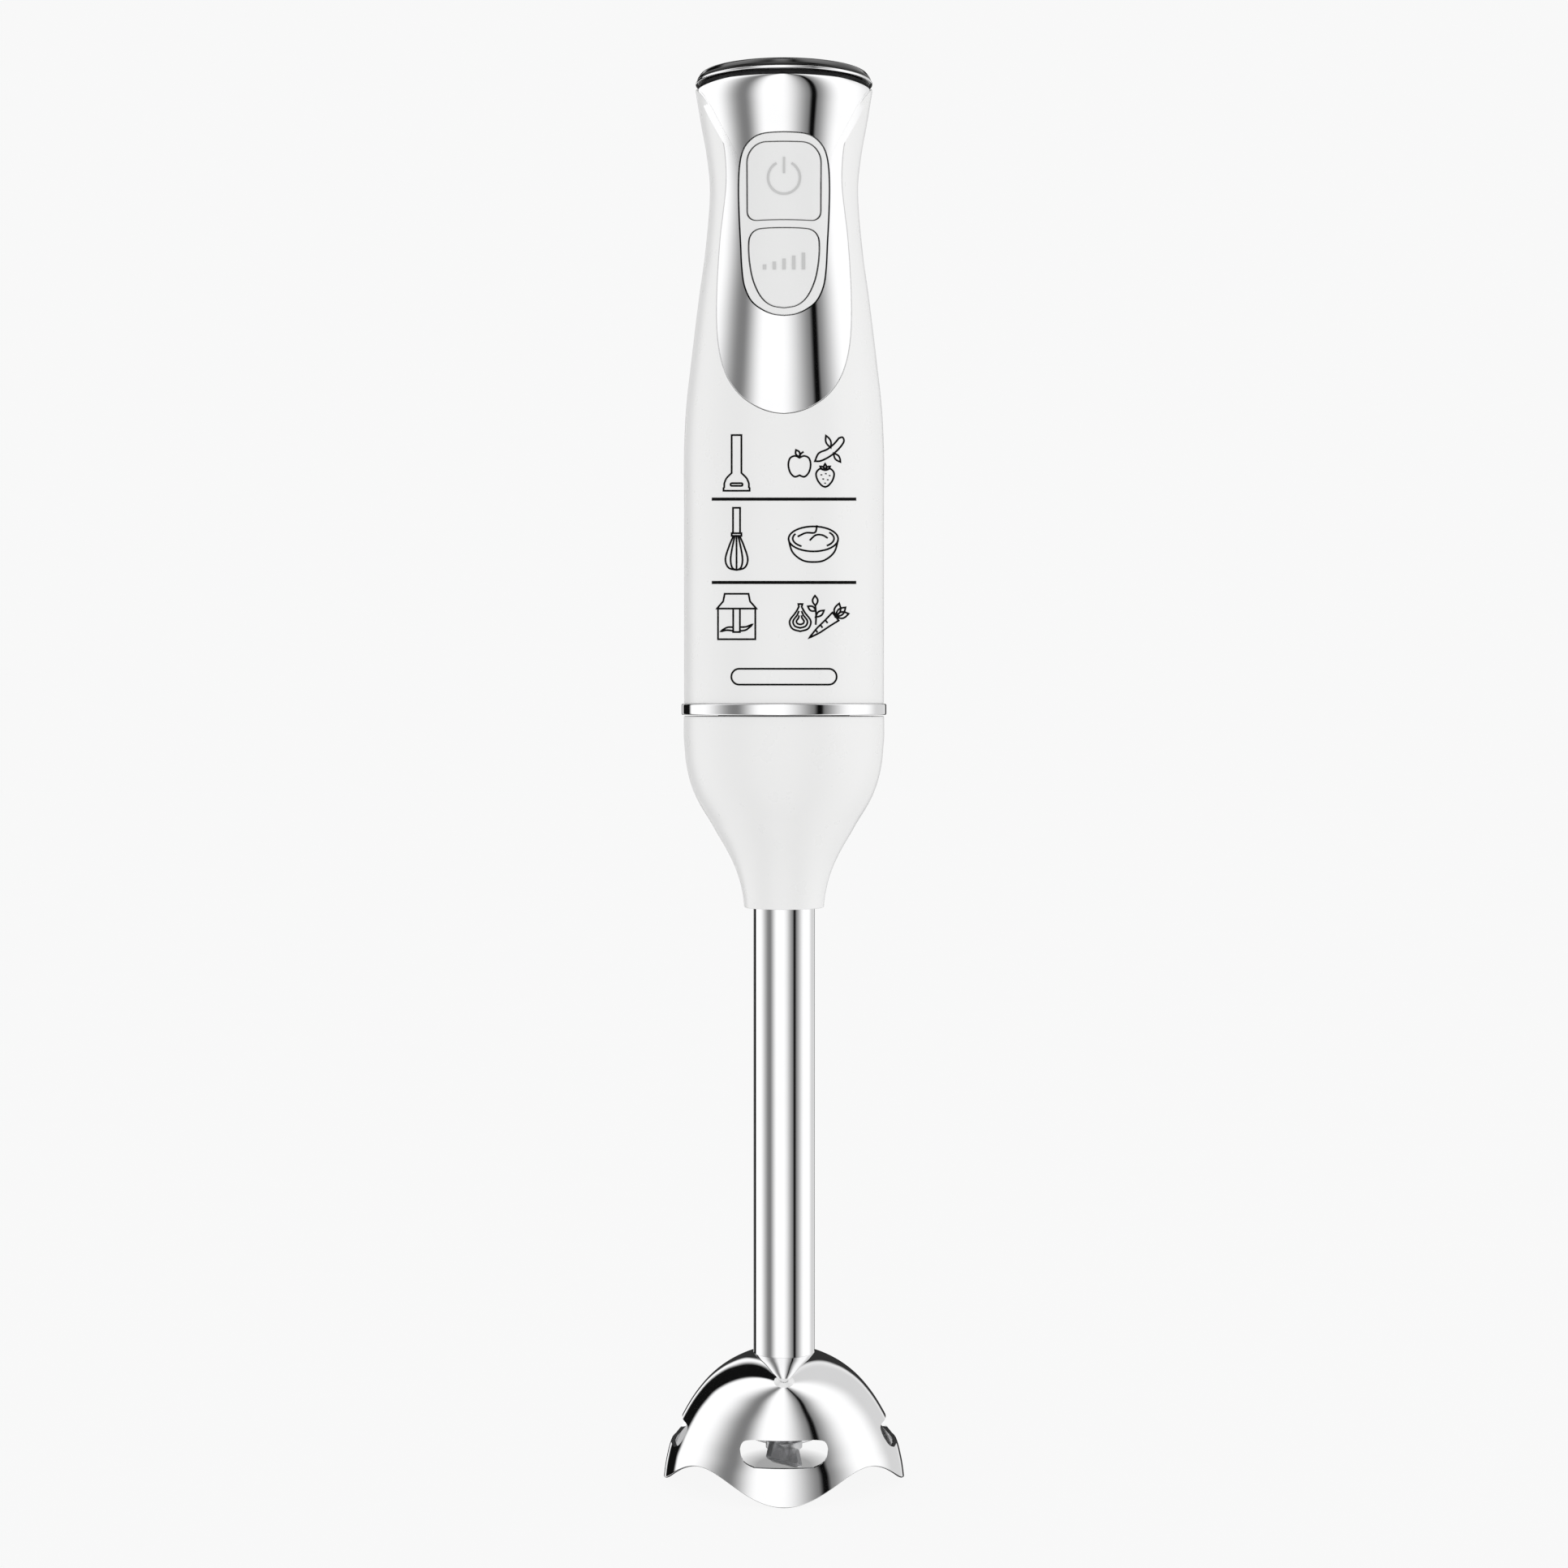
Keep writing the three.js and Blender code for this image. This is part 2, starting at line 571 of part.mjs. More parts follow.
function driveDog() {
  const bore = disc(SHAFT_RADIUS + GAP, DRIVE_DOG.lobes - 2, DRIVE_DOG.top + 1, ROUND_SMALL);
  return upright(lobes(DOG_LOBE.half, DOG_LOBE.length), DRIVE_DOG.bottom, DRIVE_DOG.lobes)
    .add(disc(DRIVE_DOG.hub, DRIVE_DOG.lobes - 1, DRIVE_DOG.top, ROUND_SMALL))
    .subtract(bore);
}

// ---------------------------------------------------------------- bayonet
function couplingNose() {
  let nose = disc(PLATE.radius, PLATE.bottom, PLATE.top, ROUND_LARGE)
    .add(ring(NOSE.inner, NOSE.outer, NOSE.bottom, PLATE.bottom + 1, ROUND_LARGE))
    .subtract(disc(BEARING.radius + 1, PLATE.bottom - 1, PLATE.top + 1))
    .subtract(ring(GROOVE.radius, NOSE.outer + 1, GROOVE.bottom, GROOVE.top, ROUND_LARGE));
  for (const angle of LUG.angles) {
    const from = angle - LUG.halfAngle;
    const to = angle + LUG.halfAngle;
    nose = nose.add(sector(NOSE.outer - 0.5, LUG.radius, LUG.bottom, LUG.top, from, to));
  }
  for (const angle of SCREW_BOSSES.angles) {
    const hole = disc(SCREW_BOSSES.hole + GAP, PLATE.bottom - 1, PLATE.top + 1, ROUND_SMALL);
    const seatTop = PLATE.bottom + SCREW_HEAD.sunk + SCREW_HEAD.height + GAP;
    const headSeat = disc(SCREW_HEAD.seat, PLATE.bottom - 1, seatTop, ROUND_SMALL);
    nose = nose.subtract(placeAt(hole.add(headSeat), SCREW_BOSSES.from, angle));
  }
  return nose;
}

function noseScrew() {
  const low = PLATE.bottom + SCREW_HEAD.sunk;
  return disc(SCREW_HEAD.radius, low, low + SCREW_HEAD.height, ROUND_SMALL)
    .add(disc(SCREW_BOSSES.hole, low + 1, SCREW_BOSSES.top - 3, ROUND_SMALL));
}

function noseSeal() {
  const { radius, halfWidth, halfHeight, corners } = NOSE_SEAL;
  const middle = (GROOVE.bottom + GROOVE.top) / 2;
  const profile = [];
  for (let i = 0; i < corners; i++) {
    const angle = (i * 2 * Math.PI) / corners;
    profile.push([radius + halfWidth * Math.cos(angle), middle + halfHeight * Math.sin(angle)]);
  }
  return turned(profile, ROUND_MEDIUM);
}

// The sleeve that takes the nose, with three L-shaped slots and a hub for tube and bush.
function footSocket() {
  let socket = ring(SOCKET.bore, SOCKET.outer, SOCKET.floor, SOCKET.top, ROUND_LARGE)
    .add(disc(SOCKET.bore + 1, SOCKET.floor, SOCKET.floorTop, ROUND_LARGE))
    .add(disc(SOCKET_HUB.radius, SOCKET_HUB.bottom, SOCKET.floor + 1))
    .subtract(disc(SOCKET_HUB.bore, SOCKET_HUB.bottom - 1, SOCKET.floorTop + 1));
  const half = LUG.halfAngle + SLOT_PLAY.angle;
  const bottom = LUG.bottom - SLOT_PLAY.height;
  const lockTop = LUG.top + SLOT_PLAY.height;
  const inner = SOCKET.bore - 1;
  for (const angle of LUG.angles) {
    const mouthTop = SOCKET.top + 1;
    const mouth = sector(inner, SOCKET.slot, bottom, mouthTop, angle - half, angle + half);
    const lock = sector(inner, SOCKET.slot, bottom, lockTop, angle - half - TWIST, angle);
    socket = socket.subtract(mouth).subtract(lock);
  }
  return socket;
}

// ---------------------------------------------------------------- foot
// The white funnel: its inside follows its outside, down to a short bore round the tube.
function footHousing() {
  const hollowFrom = 3;
  const inside = FOOT_HOUSING_OUTLINE.slice(hollowFrom)
    .map(([radius, height]) => [radius - FOOT_HOUSING_WALL, height])
    .reverse();
  const bore = TUBE.outer + GAP;
  const boreTop = FOOT_HOUSING_OUTLINE[hollowFrom - 1][1];
  const boreBottom = FOOT_HOUSING_OUTLINE[0][1];
  const profile = [...FOOT_HOUSING_OUTLINE, ...inside, [bore, boreTop], [bore, boreBottom]];
  return turned(profile, ROUND_LARGE);
}

// Everything below the bell's scalloped rim: a disc whose top edge rises and falls once for
// each lobe.
function rimCutter() {
  const reach = 40;
  const depth = 10;
  const waveAtReach = (BELL.lobeRise * reach) / BELL.rim;
  const geometry = new THREE.CylinderGeometry(reach, reach, depth, ROUND_BELL);
  const places = geometry.rotateX(Math.PI / 2).attributes.position;
  for (let i = 0; i < places.count; i++) {
    const top = places.getZ(i) > 0;
    const onRim = Math.hypot(places.getX(i), places.getY(i)) > 1;
    const angle = Math.atan2(places.getY(i), places.getX(i));
    const wave = onRim ? waveAtReach * Math.cos(BELL.lobes * angle) : 0;
    places.setZ(i, top ? BELL.lobeRise - wave : -depth);
  }
  return solid(geometry);
}

function windowShape() {
  const half = (WINDOW.top - WINDOW.bottom) / 2;
  const middle = (WINDOW.top + WINDOW.bottom) / 2;
  const reach = WINDOW.halfWidth - half;
  const shape = new THREE.Shape();
  shape.absarc(reach, middle, half, -Math.PI / 2, Math.PI / 2, false);
  shape.absarc(-reach, middle, half, Math.PI / 2, 1.5 * Math.PI, false);
  return shape;
}

// The dome with its scalloped rim and four windows, a hub for the bush inside, and a spigot
// that goes up into the tube.
function bell() {
  const below = -3;
  const cavityTop = BELL_CAVITY.at(-1)[1];
  const skirt = [[BELL.rim, below], [0, below]];
  const dome = turned([[0, BELL.top], ...BELL_OUTLINE, ...skirt], ROUND_BELL);
  const mouth = [[0, below - 1], [BELL_CAVITY[0][0], below - 1]];
  const cavity = turned([...mouth, ...BELL_CAVITY, [0, cavityTop]], ROUND_BELL);
  const windows = through(windowShape(), -BELL.rim - 1, BELL.rim + 1, 4);
  const hub = disc(BELL.hub, BELL.hubBottom, BELL_SPIGOT.bottom);
  const spigot = disc(BELL_SPIGOT.radius, BELL_SPIGOT.bottom, BELL_SPIGOT.top);
  return dome
    .subtract(cavity)
    .subtract(rimCutter())
    .subtract(windows)
    .subtract(turnedBy(windows, 90))
    .add(hub)
    .add(spigot)
    .subtract(disc(BELL.bore, BELL.hubBottom - 1, BELL_SPIGOT.top + 1));
}

function bush({ bottom, top }, outer) {
  return ring(BEARING.bore, outer, bottom, top, ROUND_SMALL);
}

// One wing, pitched about its own length, with a rounded tip.
function bladeWing() {
  const { halfChord, halfRoot, length, thickness, tipCorner: corner, pitch } = BLADE;
  const root = -2;
  const quarter = Math.PI / 2;
  const tip = -length + corner;
  const shape = new THREE.Shape();
  shape.moveTo(-halfRoot, root);
  shape.lineTo(-halfChord, tip);
  shape.absarc(-halfChord + corner, tip, corner, 2 * quarter, 3 * quarter, false);
  shape.absarc(halfChord - corner, tip, corner, 3 * quarter, 4 * quarter, false);
  shape.lineTo(halfRoot, root);
  shape.closePath();
  const flat = upright(shape, -thickness / 2, thickness / 2, 3);
  const middle = BLADE_HUB.bottom + BLADE_HUB.height / 2;
  return flat.rotate([0, pitch, 0]).translate([0, 0, middle]);
}

function blade() {
  const { radius, bottom, height } = BLADE_HUB;
  const wing = bladeWing();
  return disc(radius, bottom, bottom + height)
    .add(wing)
    .add(turnedBy(wing, 180))
    .subtract(disc(BEARING.bore, bottom - 4, bottom + height + 4, ROUND_SMALL));
}

function bladeNut() {
  const hexagon = 6;
  const body = disc(NUT.radius, NUT.bottom, NUT.top, hexagon);
  return body.subtract(disc(BEARING.bore, BLADE_SHAFT.bottom - GAP, NUT.top + 1, ROUND_SMALL));
}

function drivenDog() {
  const { bottom, top, radius, floor } = DRIVEN_DOG;
  const { half, length, play } = DOG_LOBE;
  return disc(radius, bottom, top)
    .subtract(upright(lobes(half + play, length + play), floor, top + 1))
    .subtract(disc(SHAFT_RADIUS + GAP, bottom - 1, BLADE_SHAFT.top + GAP, ROUND_SMALL));
}

// ---------------------------------------------------------------- assembly
const blender = new THREE.Group();
const handle = newGroup(blender);
const rotor = newGroup(handle);
const foot = newGroup(blender);

add(handle, "body_shell", bodyShell(), "white");
add(handle, "front_panel", frontPanel(), "chrome");
add(handle, "button_frame", buttonFrame(), "buttonPlastic");
const gasket = ring(GASKET.inner, GASKET.outer, HANDLE.top + GAP, CAP.bottom - GAP, ROUND_LARGE);
add(handle, "cap_gasket", gasket, "rubber");
add(handle, "top_cap", topCap(), "chrome");
add(handle, "cord_gland", cordGland(), "rubber");
add(handle, "cord_clamp", cordClamp(), "greyPlastic");
add(handle, "clamp_screw_left", clampScrew(), "steel").position.set(-CLAMP.screwX, INLET.y, 0);
add(handle, "clamp_screw_right", clampScrew(), "steel").position.set(CLAMP.screwX, INLET.y, 0);

for (const [name, shapeOf] of [["power", powerShape], ["turbo", turboShape]]) {
  add(handle, `${name}_button`, button(shapeOf, SWITCH_HEIGHT[name]), "buttonPlastic");
  add(handle, `${name}_spring`, returnSpring(SPRING_HEIGHT[name]), "steel");
  add(handle, `${name}_switch`, microSwitch(), "darkPlastic").position.z = SWITCH_HEIGHT[name];
}
add(handle, "circuit_board", circuitBoard(), "board");
add(handle, "switch_carrier", switchCarrier(), "greyPlastic");

const upperBracket = bracket(UPPER_BRACKET, STACK.top + GAP, UPPER_BRACKET.top);
const lowerBracket = bracket(LOWER_BRACKET, LOWER_BRACKET.bottom, STACK.bottom - GAP);
add(handle, "motor_stator", statorStack(), "lamination");
add(handle, "upper_bracket", upperBracket, "greyPlastic");
add(handle, "lower_bracket", lowerBracket, "greyPlastic");
for (const [place, { bottom, top }] of [["upper", UPPER_BRACKET], ["lower", LOWER_BRACKET]]) {
  add(handle, `${place}_bearing`, bearing((bottom + top) / 2), "bronze");
}
for (const [side, turn] of [["front", 0], ["rear", Math.PI]]) {
  add(handle, `field_coil_${side}`, fieldCoil(), "copper").rotation.z = turn;
  add(handle, `brush_holder_${side}`, brushHolder(), "darkPlastic").rotation.z = turn;
  add(handle, `carbon_brush_${side}`, brush(), "carbon").rotation.z = turn;
}
add(handle, "upper_motor_mount", hoop(UPPER_MOUNT), "rubber");
add(handle, "lower_motor_mount", hoop(LOWER_MOUNT), "rubber");
add(handle, "motor_retainer", hoop(RETAINER, ROUND_LARGE), "greyPlastic");

add(handle, "coupling_nose", couplingNose(), "darkPlastic");
add(handle, "nose_seal", noseSeal(), "rubber");
add(handle, "trim_ring", hoop(TRIM_RING, ROUND_LARGE), "chrome");
SCREW_BOSSES.angles.forEach((angle, i) => {
  add(handle, `nose_screw_${i + 1}`, placeAt(noseScrew(), SCREW_BOSSES.from, angle), "steel");
});

const shaftFit = SHAFT_RADIUS + GAP;
const commutator = ring(shaftFit, COMMUTATOR.radius, COMMUTATOR.bottom, COMMUTATOR.top);
add(rotor, "motor_shaft", shaft(MOTOR_SHAFT), "steel");
add(rotor, "armature_core", armatureCore(), "lamination");
add(rotor, "armature_winding", armatureWinding(), "copper");
add(rotor, "commutator", commutator, "copper");
add(rotor, "cooling_fan", coolingFan(), "darkPlastic");
add(rotor, "drive_dog", driveDog(), "darkPlastic");

add(foot, "foot_housing", footHousing(), "white");
add(foot, "foot_socket", footSocket(), "darkPlastic");
add(foot, "foot_tube", hoop(TUBE), "chrome");
add(foot, "bell", bell(), "chrome");
add(foot, "upper_bush", bush(UPPER_BUSH, SOCKET_HUB.bore - GAP), "bronze");
add(foot, "lower_bush", bush(LOWER_BUSH, BELL.bore - GAP), "bronze");
add(foot, "shaft_seal", bush(SEAL, BELL.bore - GAP), "rubber");
add(foot, "blade_shaft", shaft(BLADE_SHAFT), "steel");
add(foot, "driven_dog", drivenDog(), "darkPlastic");
add(foot, "blade", blade(), "bladeSteel");
add(foot, "blade_nut", bladeNut(), "steel");

export default blender;
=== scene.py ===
import json
import math

import bmesh
import bpy
import numpy as np
from mathutils import Matrix, Vector


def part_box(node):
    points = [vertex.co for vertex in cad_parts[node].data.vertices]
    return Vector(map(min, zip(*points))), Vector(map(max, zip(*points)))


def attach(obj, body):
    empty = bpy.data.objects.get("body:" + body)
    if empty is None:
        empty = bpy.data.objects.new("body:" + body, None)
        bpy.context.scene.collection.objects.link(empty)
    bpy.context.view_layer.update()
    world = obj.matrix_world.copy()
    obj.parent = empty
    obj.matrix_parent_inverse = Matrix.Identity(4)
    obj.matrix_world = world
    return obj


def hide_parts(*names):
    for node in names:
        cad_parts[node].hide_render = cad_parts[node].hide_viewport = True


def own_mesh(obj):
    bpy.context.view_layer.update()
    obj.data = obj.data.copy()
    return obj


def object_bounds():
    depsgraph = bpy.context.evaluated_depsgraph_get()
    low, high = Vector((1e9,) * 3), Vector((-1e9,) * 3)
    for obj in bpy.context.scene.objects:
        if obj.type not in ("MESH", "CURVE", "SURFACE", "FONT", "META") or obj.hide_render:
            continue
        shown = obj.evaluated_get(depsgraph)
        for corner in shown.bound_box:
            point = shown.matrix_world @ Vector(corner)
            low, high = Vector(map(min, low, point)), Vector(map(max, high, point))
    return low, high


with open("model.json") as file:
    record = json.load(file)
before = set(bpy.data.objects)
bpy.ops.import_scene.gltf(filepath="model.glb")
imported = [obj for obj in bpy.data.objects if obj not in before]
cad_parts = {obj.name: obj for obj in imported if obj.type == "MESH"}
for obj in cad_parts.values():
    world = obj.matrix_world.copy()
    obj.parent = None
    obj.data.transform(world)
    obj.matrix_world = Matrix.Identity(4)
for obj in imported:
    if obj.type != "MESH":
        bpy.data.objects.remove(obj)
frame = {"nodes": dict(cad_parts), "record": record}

CAD_LOW, CAD_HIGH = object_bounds()
MM = 0.001
ROUND, ROUND_MIDDLE, ROUND_SMALL = 160, 128, 64  # sides of turned pieces, by their size
CAP_TOP = CAD_HIGH.z / MM


def span(node):
    """A node's lowest and highest height in millimetres."""
    low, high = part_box(node)
    return low.z / MM, high.z / MM


def radius_of(node):
    """Half of a round node's width in millimetres."""
    low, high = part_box(node)
    return (high.x - low.x) / 2 / MM


# ------------------------------------------------------------------ curves
def spline(points, count):
    """A Catmull-Rom curve through the points, as count + 1 points."""
    points = np.array(points, float)
    last = len(points) - 1
    made = []
    for place in np.linspace(0, last, count + 1):
        i = min(int(place), last - 1)
        t = place - i
        a, b, c, d = (points[k] for k in (max(i - 1, 0), i, i + 1, min(i + 2, last)))
        v0, v1 = (c - a) / 2, (d - b) / 2
        made.append(
            (2 * b - 2 * c + v0 + v1) * t**3
            + (-3 * b + 3 * c - 2 * v0 - v1) * t**2
            + v0 * t
            + b
        )
    return np.array(made)


def arc(x, z, radius_x, radius_z, start, stop, count=12):
    """Points on an ellipse, between two angles in degrees measured from +X."""
    angles = np.radians(np.linspace(start, stop, count + 1))
    return np.stack([x + radius_x * np.cos(angles), z + radius_z * np.sin(angles)], 1)


def filleted(corners, steps=5):
    """A closed outline from corners (x, z, fillet radius)."""
    made = []
    for i, (x, z, radius) in enumerate(corners):
        here = np.array([x, z])
        before = np.array(corners[i - 1][:2]) - here
        after = np.array(corners[(i + 1) % len(corners)][:2]) - here
        if radius == 0:
            made.append(here)
            continue
        before /= np.linalg.norm(before)
        after /= np.linalg.norm(after)
        half = math.acos(np.clip(before @ after, -1, 1)) / 2
        reach = radius / math.tan(half)
        middle = here + (before + after) / np.linalg.norm(before + after) * radius / math.sin(half)
        first = here + before * reach - middle
        final = here + after * reach - middle
        turn = math.pi - 2 * half
        for k in range(steps + 1):
            share = k / steps
            mix = math.sin((1 - share) * turn) * first + math.sin(share * turn) * final
            made.append(middle + mix / math.sin(turn))
    return np.array(made)


def unit(vectors, least=0.0):
    """The rows of vectors, each brought to length 1. Lengths count as at least that."""
    return vectors / np.maximum(np.linalg.norm(vectors, axis=1), least)[:, None]


def resampled(outline, count):
    """The closed outline as count points at even distances."""
    ring = np.vstack([outline, outline[:1]])
    along = np.concatenate([[0], np.cumsum(np.linalg.norm(np.diff(ring, axis=0), axis=1))])
    wanted = np.linspace(0, along[-1], count, endpoint=False)
    return np.stack([np.interp(wanted, along, ring[:, k]) for k in (0, 1)], 1)


def mirrored(half):
    """A closed outline, anticlockwise seen from the front, from its right half, top to bottom."""
    half = np.array(half)
    return np.vstack([half * [-1, 1], half[::-1][1:-1]])


def grown(outline, distance):
    """The anticlockwise outline moved outwards by a distance."""
    along = unit(np.roll(outline, -1, 0) - np.roll(outline, 1, 0))
    return outline + distance * np.stack([along[:, 1], -along[:, 0]], 1)


# ------------------------------------------------------------------ the handle's surface
HANDLE_OUTLINE = [
    (27.3, 269), (27.3, 281), (26.7, 293), (25.2, 306.4), (23.3, 322), (21.4, 336),
    (20.2, 351), (21.0, 361), (22.6, 370), (24.1, 379),
]
HANDLE_BOTTOM, HANDLE_TOP = span("body_shell")
HANDLE_CURVE = spline(HANDLE_OUTLINE, 400)
ROLL_FROM, ROLL_RADIUS = 372.6, 10.4  # where the front starts to curve in under the cap
PANEL_TOP = 380.1  # the middle of the panel's crowned top edge
EASE_FROM, EASE = math.radians(52), 0.35  # where and how far the panel's side polish flattens


def handle_radius(z):
    return np.interp(z, HANDLE_CURVE[:, 1], HANDLE_CURVE[:, 0])


def on_handle(angle, z, offset=0.0, roll=0.0):
    """Points on the handle. The angle runs from the front towards +X. With a roll of 1 the
    last stretch under the cap curves inwards at the front, on an arc."""
    angle, z = np.asarray(angle, float), np.asarray(z, float)
    climb = np.clip(z - ROLL_FROM, 0, PANEL_TOP + 0.5 - ROLL_FROM)
    bend = ROLL_RADIUS - np.sqrt(ROLL_RADIUS**2 - climb**2)
    radius = handle_radius(z) + offset - roll * bend * np.cos(angle)
    return np.stack([radius * np.sin(angle), -radius * np.cos(angle), z], -1)


def handle_surface(offset=0.0, roll=0.0, ease=1.0):
    """A function of points that gives the nearest point of the skin and its normal. ease
    is the share of the turn that the normals keep beyond EASE_FROM."""

    def look(points):
        angle = np.arctan2(points[:, 0], -points[:, 1])
        z = points[:, 2]
        turn = np.abs(angle)
        faced = np.sign(angle) * (turn - (1 - ease) * np.maximum(turn - EASE_FROM, 0))
        step = 0.25
        across = on_handle(faced + 0.01, z, offset, roll) - on_handle(faced - 0.01, z, offset, roll)
        up = on_handle(faced, z + step, offset, roll) - on_handle(faced, z - step, offset, roll)
        return on_handle(angle, z, offset, roll), unit(np.cross(across, up))

    return look


# ------------------------------------------------------------------ meshes
def mesh_object(name, points, faces):
    mesh = bpy.data.meshes.new(name)
    mesh.from_pydata([tuple(p * MM) for p in np.asarray(points, float)], [], faces)
    mesh.validate()
    made = bpy.data.objects.new(name, mesh)
    bpy.context.scene.collection.objects.link(made)
    return made


def smooth(piece, surfaces=(), sharp=38, reach=0.03):
    """Smooth shading with sharp edges, and exact normals wherever the mesh lies on one of
    the surfaces."""
    mesh = piece.data
    mesh.shade_smooth()
    mesh.set_sharp_from_angle(angle=math.radians(sharp))
    if not surfaces:
        return piece
    count = len(mesh.loops)
    normals = np.zeros(count * 3, np.float32)
    mesh.corner_normals.foreach_get("vector", normals)
    normals = normals.reshape(-1, 3).astype(float)
    places = np.zeros(len(mesh.vertices) * 3, np.float32)
    mesh.vertices.foreach_get("co", places)
    places = places.reshape(-1, 3).astype(float) / MM
    vertex_of = np.zeros(count, np.int32)
    mesh.loops.foreach_get("vertex_index", vertex_of)
    face_normals = np.zeros((count, 3))
    for face in mesh.polygons:
        face_normals[face.loop_start : face.loop_start + face.loop_total] = face.normal
    for look in surfaces:
        nearest, exact = look(places)
        near = np.linalg.norm(nearest - places, axis=1) < reach
        exact = exact[vertex_of]
        facing = (exact * face_normals).sum(1)
        use = near[vertex_of] & (np.abs(facing) > 0.9)
        normals[use] = exact[use] * np.sign(facing[use])[:, None]
    mesh.normals_split_custom_set(normals.tolist())
    return piece


def turned_arrays(strokes, sides):
    """Points, faces and corner normals of a profile turned about Z. The profile is a list
    of strokes of (radius, height), anticlockwise with the axis on the left, each smooth in
    itself and sharp where it meets the next. It ends where it began, or on the axis."""
    points, spans = [], []
    for stroke in strokes:
        stroke = np.array(stroke, float)
        along = unit(np.vstack([stroke[1:], stroke[-1:]]) - np.vstack([stroke[:1], stroke[:-1]]))
        normals = np.stack([along[:, 1], -along[:, 0]], 1)
        rows = []
        for k, point in enumerate(stroke):
            if k == 0 and points and np.allclose(points[-1], point, atol=1e-6):
                rows.append(len(points) - 1)
            elif points and k == len(stroke) - 1 and np.allclose(points[0], point, atol=1e-6):
                rows.append(0)
            else:
                points.append(point)
                rows.append(len(points) - 1)
        spans += [(rows[k], rows[k + 1], normals[k], normals[k + 1]) for k in range(len(rows) - 1)]
    angles = np.arange(sides) * 2 * math.pi / sides
    spokes = np.stack([np.cos(angles), np.sin(angles)], 1)
    places, starts, on_axis = [], [], []
    for radius, height in points:
        starts.append(len(places))
        on_axis.append(radius < 1e-6)
        ring = spokes[:1] * 0 if radius < 1e-6 else spokes * radius
        places += [(x, y, height) for x, y in ring]
    faces, corner_normals = [], []

    def put(row, side):
        return starts[row] + (0 if on_axis[row] else side % sides)

    def normal(flat, side):
        x, y = spokes[side % sides]
        return (x * flat[0], y * flat[0], flat[1])

    for low, high, low_normal, high_normal in spans:
        if on_axis[low] and on_axis[high]:
            continue
        for side in range(sides):
            corners = [(low, side, low_normal), (low, side + 1, low_normal)]
            corners += [(high, side + 1, high_normal), (high, side, high_normal)]
            if on_axis[low]:
                corners.pop(1)
            if on_axis[high]:
                corners.pop(2)
            faces.append([put(row, s) for row, s, _ in corners])
            corner_normals += [normal(flat, s) for _, s, flat in corners]
    return places, faces, corner_normals


def turned(name, strokes, sides=ROUND):
    places, faces, corner_normals = turned_arrays(strokes, sides)
    made = mesh_object(name, places, faces)
    made.data.shade_smooth()
    made.data.normals_split_custom_set(corner_normals)
    return made


def profile(corners, steps=5):
    """Strokes for turned(): a closed profile of corners (radius, height, fillet), with the
    fillets smooth and corners of fillet 0 sharp."""
    outline = filleted(corners, steps)
    count = len(outline)
    sharp = []
    index = 0
    for _, _, fillet in corners:
        if fillet == 0:
            sharp.append(index)
        index += 1 if fillet == 0 else steps + 1
    if not sharp:
        return [supported([*outline, outline[0]])]
    ends = sharp[1:] + [sharp[0] + count]
    return [supported([outline[k % count] for k in range(a, b + 1)]) for a, b in zip(sharp, ends)]


def supported(stroke, reach=0.12):
    """The stroke with extra points close to the ends of its long straight stretches."""
    made = [np.array(stroke[0])]
    for k in range(1, len(stroke)):
        a, b = np.array(stroke[k - 1]), np.array(stroke[k])
        length = np.linalg.norm(b - a)
        if length > 6 * reach:
            made.append(a + (b - a) / length * reach)
            made.append(b - (b - a) / length * reach)
        made.append(b)
    return made


def lathe(name, corners, sides=ROUND_SMALL, steps=5):
    """A piece turned from a closed profile of corners (radius, height, fillet)."""
    return turned(name, profile(corners, steps), sides)


def washer(name, radii, heights, fillets, sides=ROUND_SMALL, steps=5):
    """A ring with rounded edges. Its fillets go from the lower inner edge anticlockwise."""
    (inner, outer), (low, high) = radii, heights
    edges = [(inner, low), (outer, low), (outer, high), (inner, high)]
    corners = [(*edge, fillet) for edge, fillet in zip(edges, fillets)]
    return lathe(name, corners, sides, steps)


def rod(name, radius, heights, fillets=(0, 0), foot=None):
    """A solid round bar, or a cone where its foot has a radius of its own. A fourth stroke
    of its profile would only run along the axis, and is left out."""
    low, high = heights
    foot = radius if foot is None else foot
    corners = [(0, low, 0), (foot, low, fillets[0]), (radius, high, fillets[1]), (0, high, 0)]
    return turned(name, profile(corners)[:3], ROUND_SMALL)


def bridge(rings, first_point=None, last_point=None, closed=False):
    """Points and faces from rings of equal length, each ring inside the next as seen from
    the front, with optional single points in place of the first and last rings."""
    points = [p for ring in rings for p in ring]
    size = len(rings[0])
    faces = []
    rows = len(rings)
    for k in range(rows if closed else rows - 1):
        a, b = k * size, (k + 1) % rows * size
        for i in range(size):
            j = (i + 1) % size
            faces.append([a + i, b + i, b + j, a + j])
    if first_point is not None:
        points.append(first_point)
        centre = len(points) - 1
        faces += [[centre, i, (i + 1) % size] for i in range(size)]
    if last_point is not None:
        points.append(last_point)
        centre = len(points) - 1
        start = (rows - 1) * size
        faces += [[centre, start + (i + 1) % size, start + i] for i in range(size)]
    return np.array(points), faces


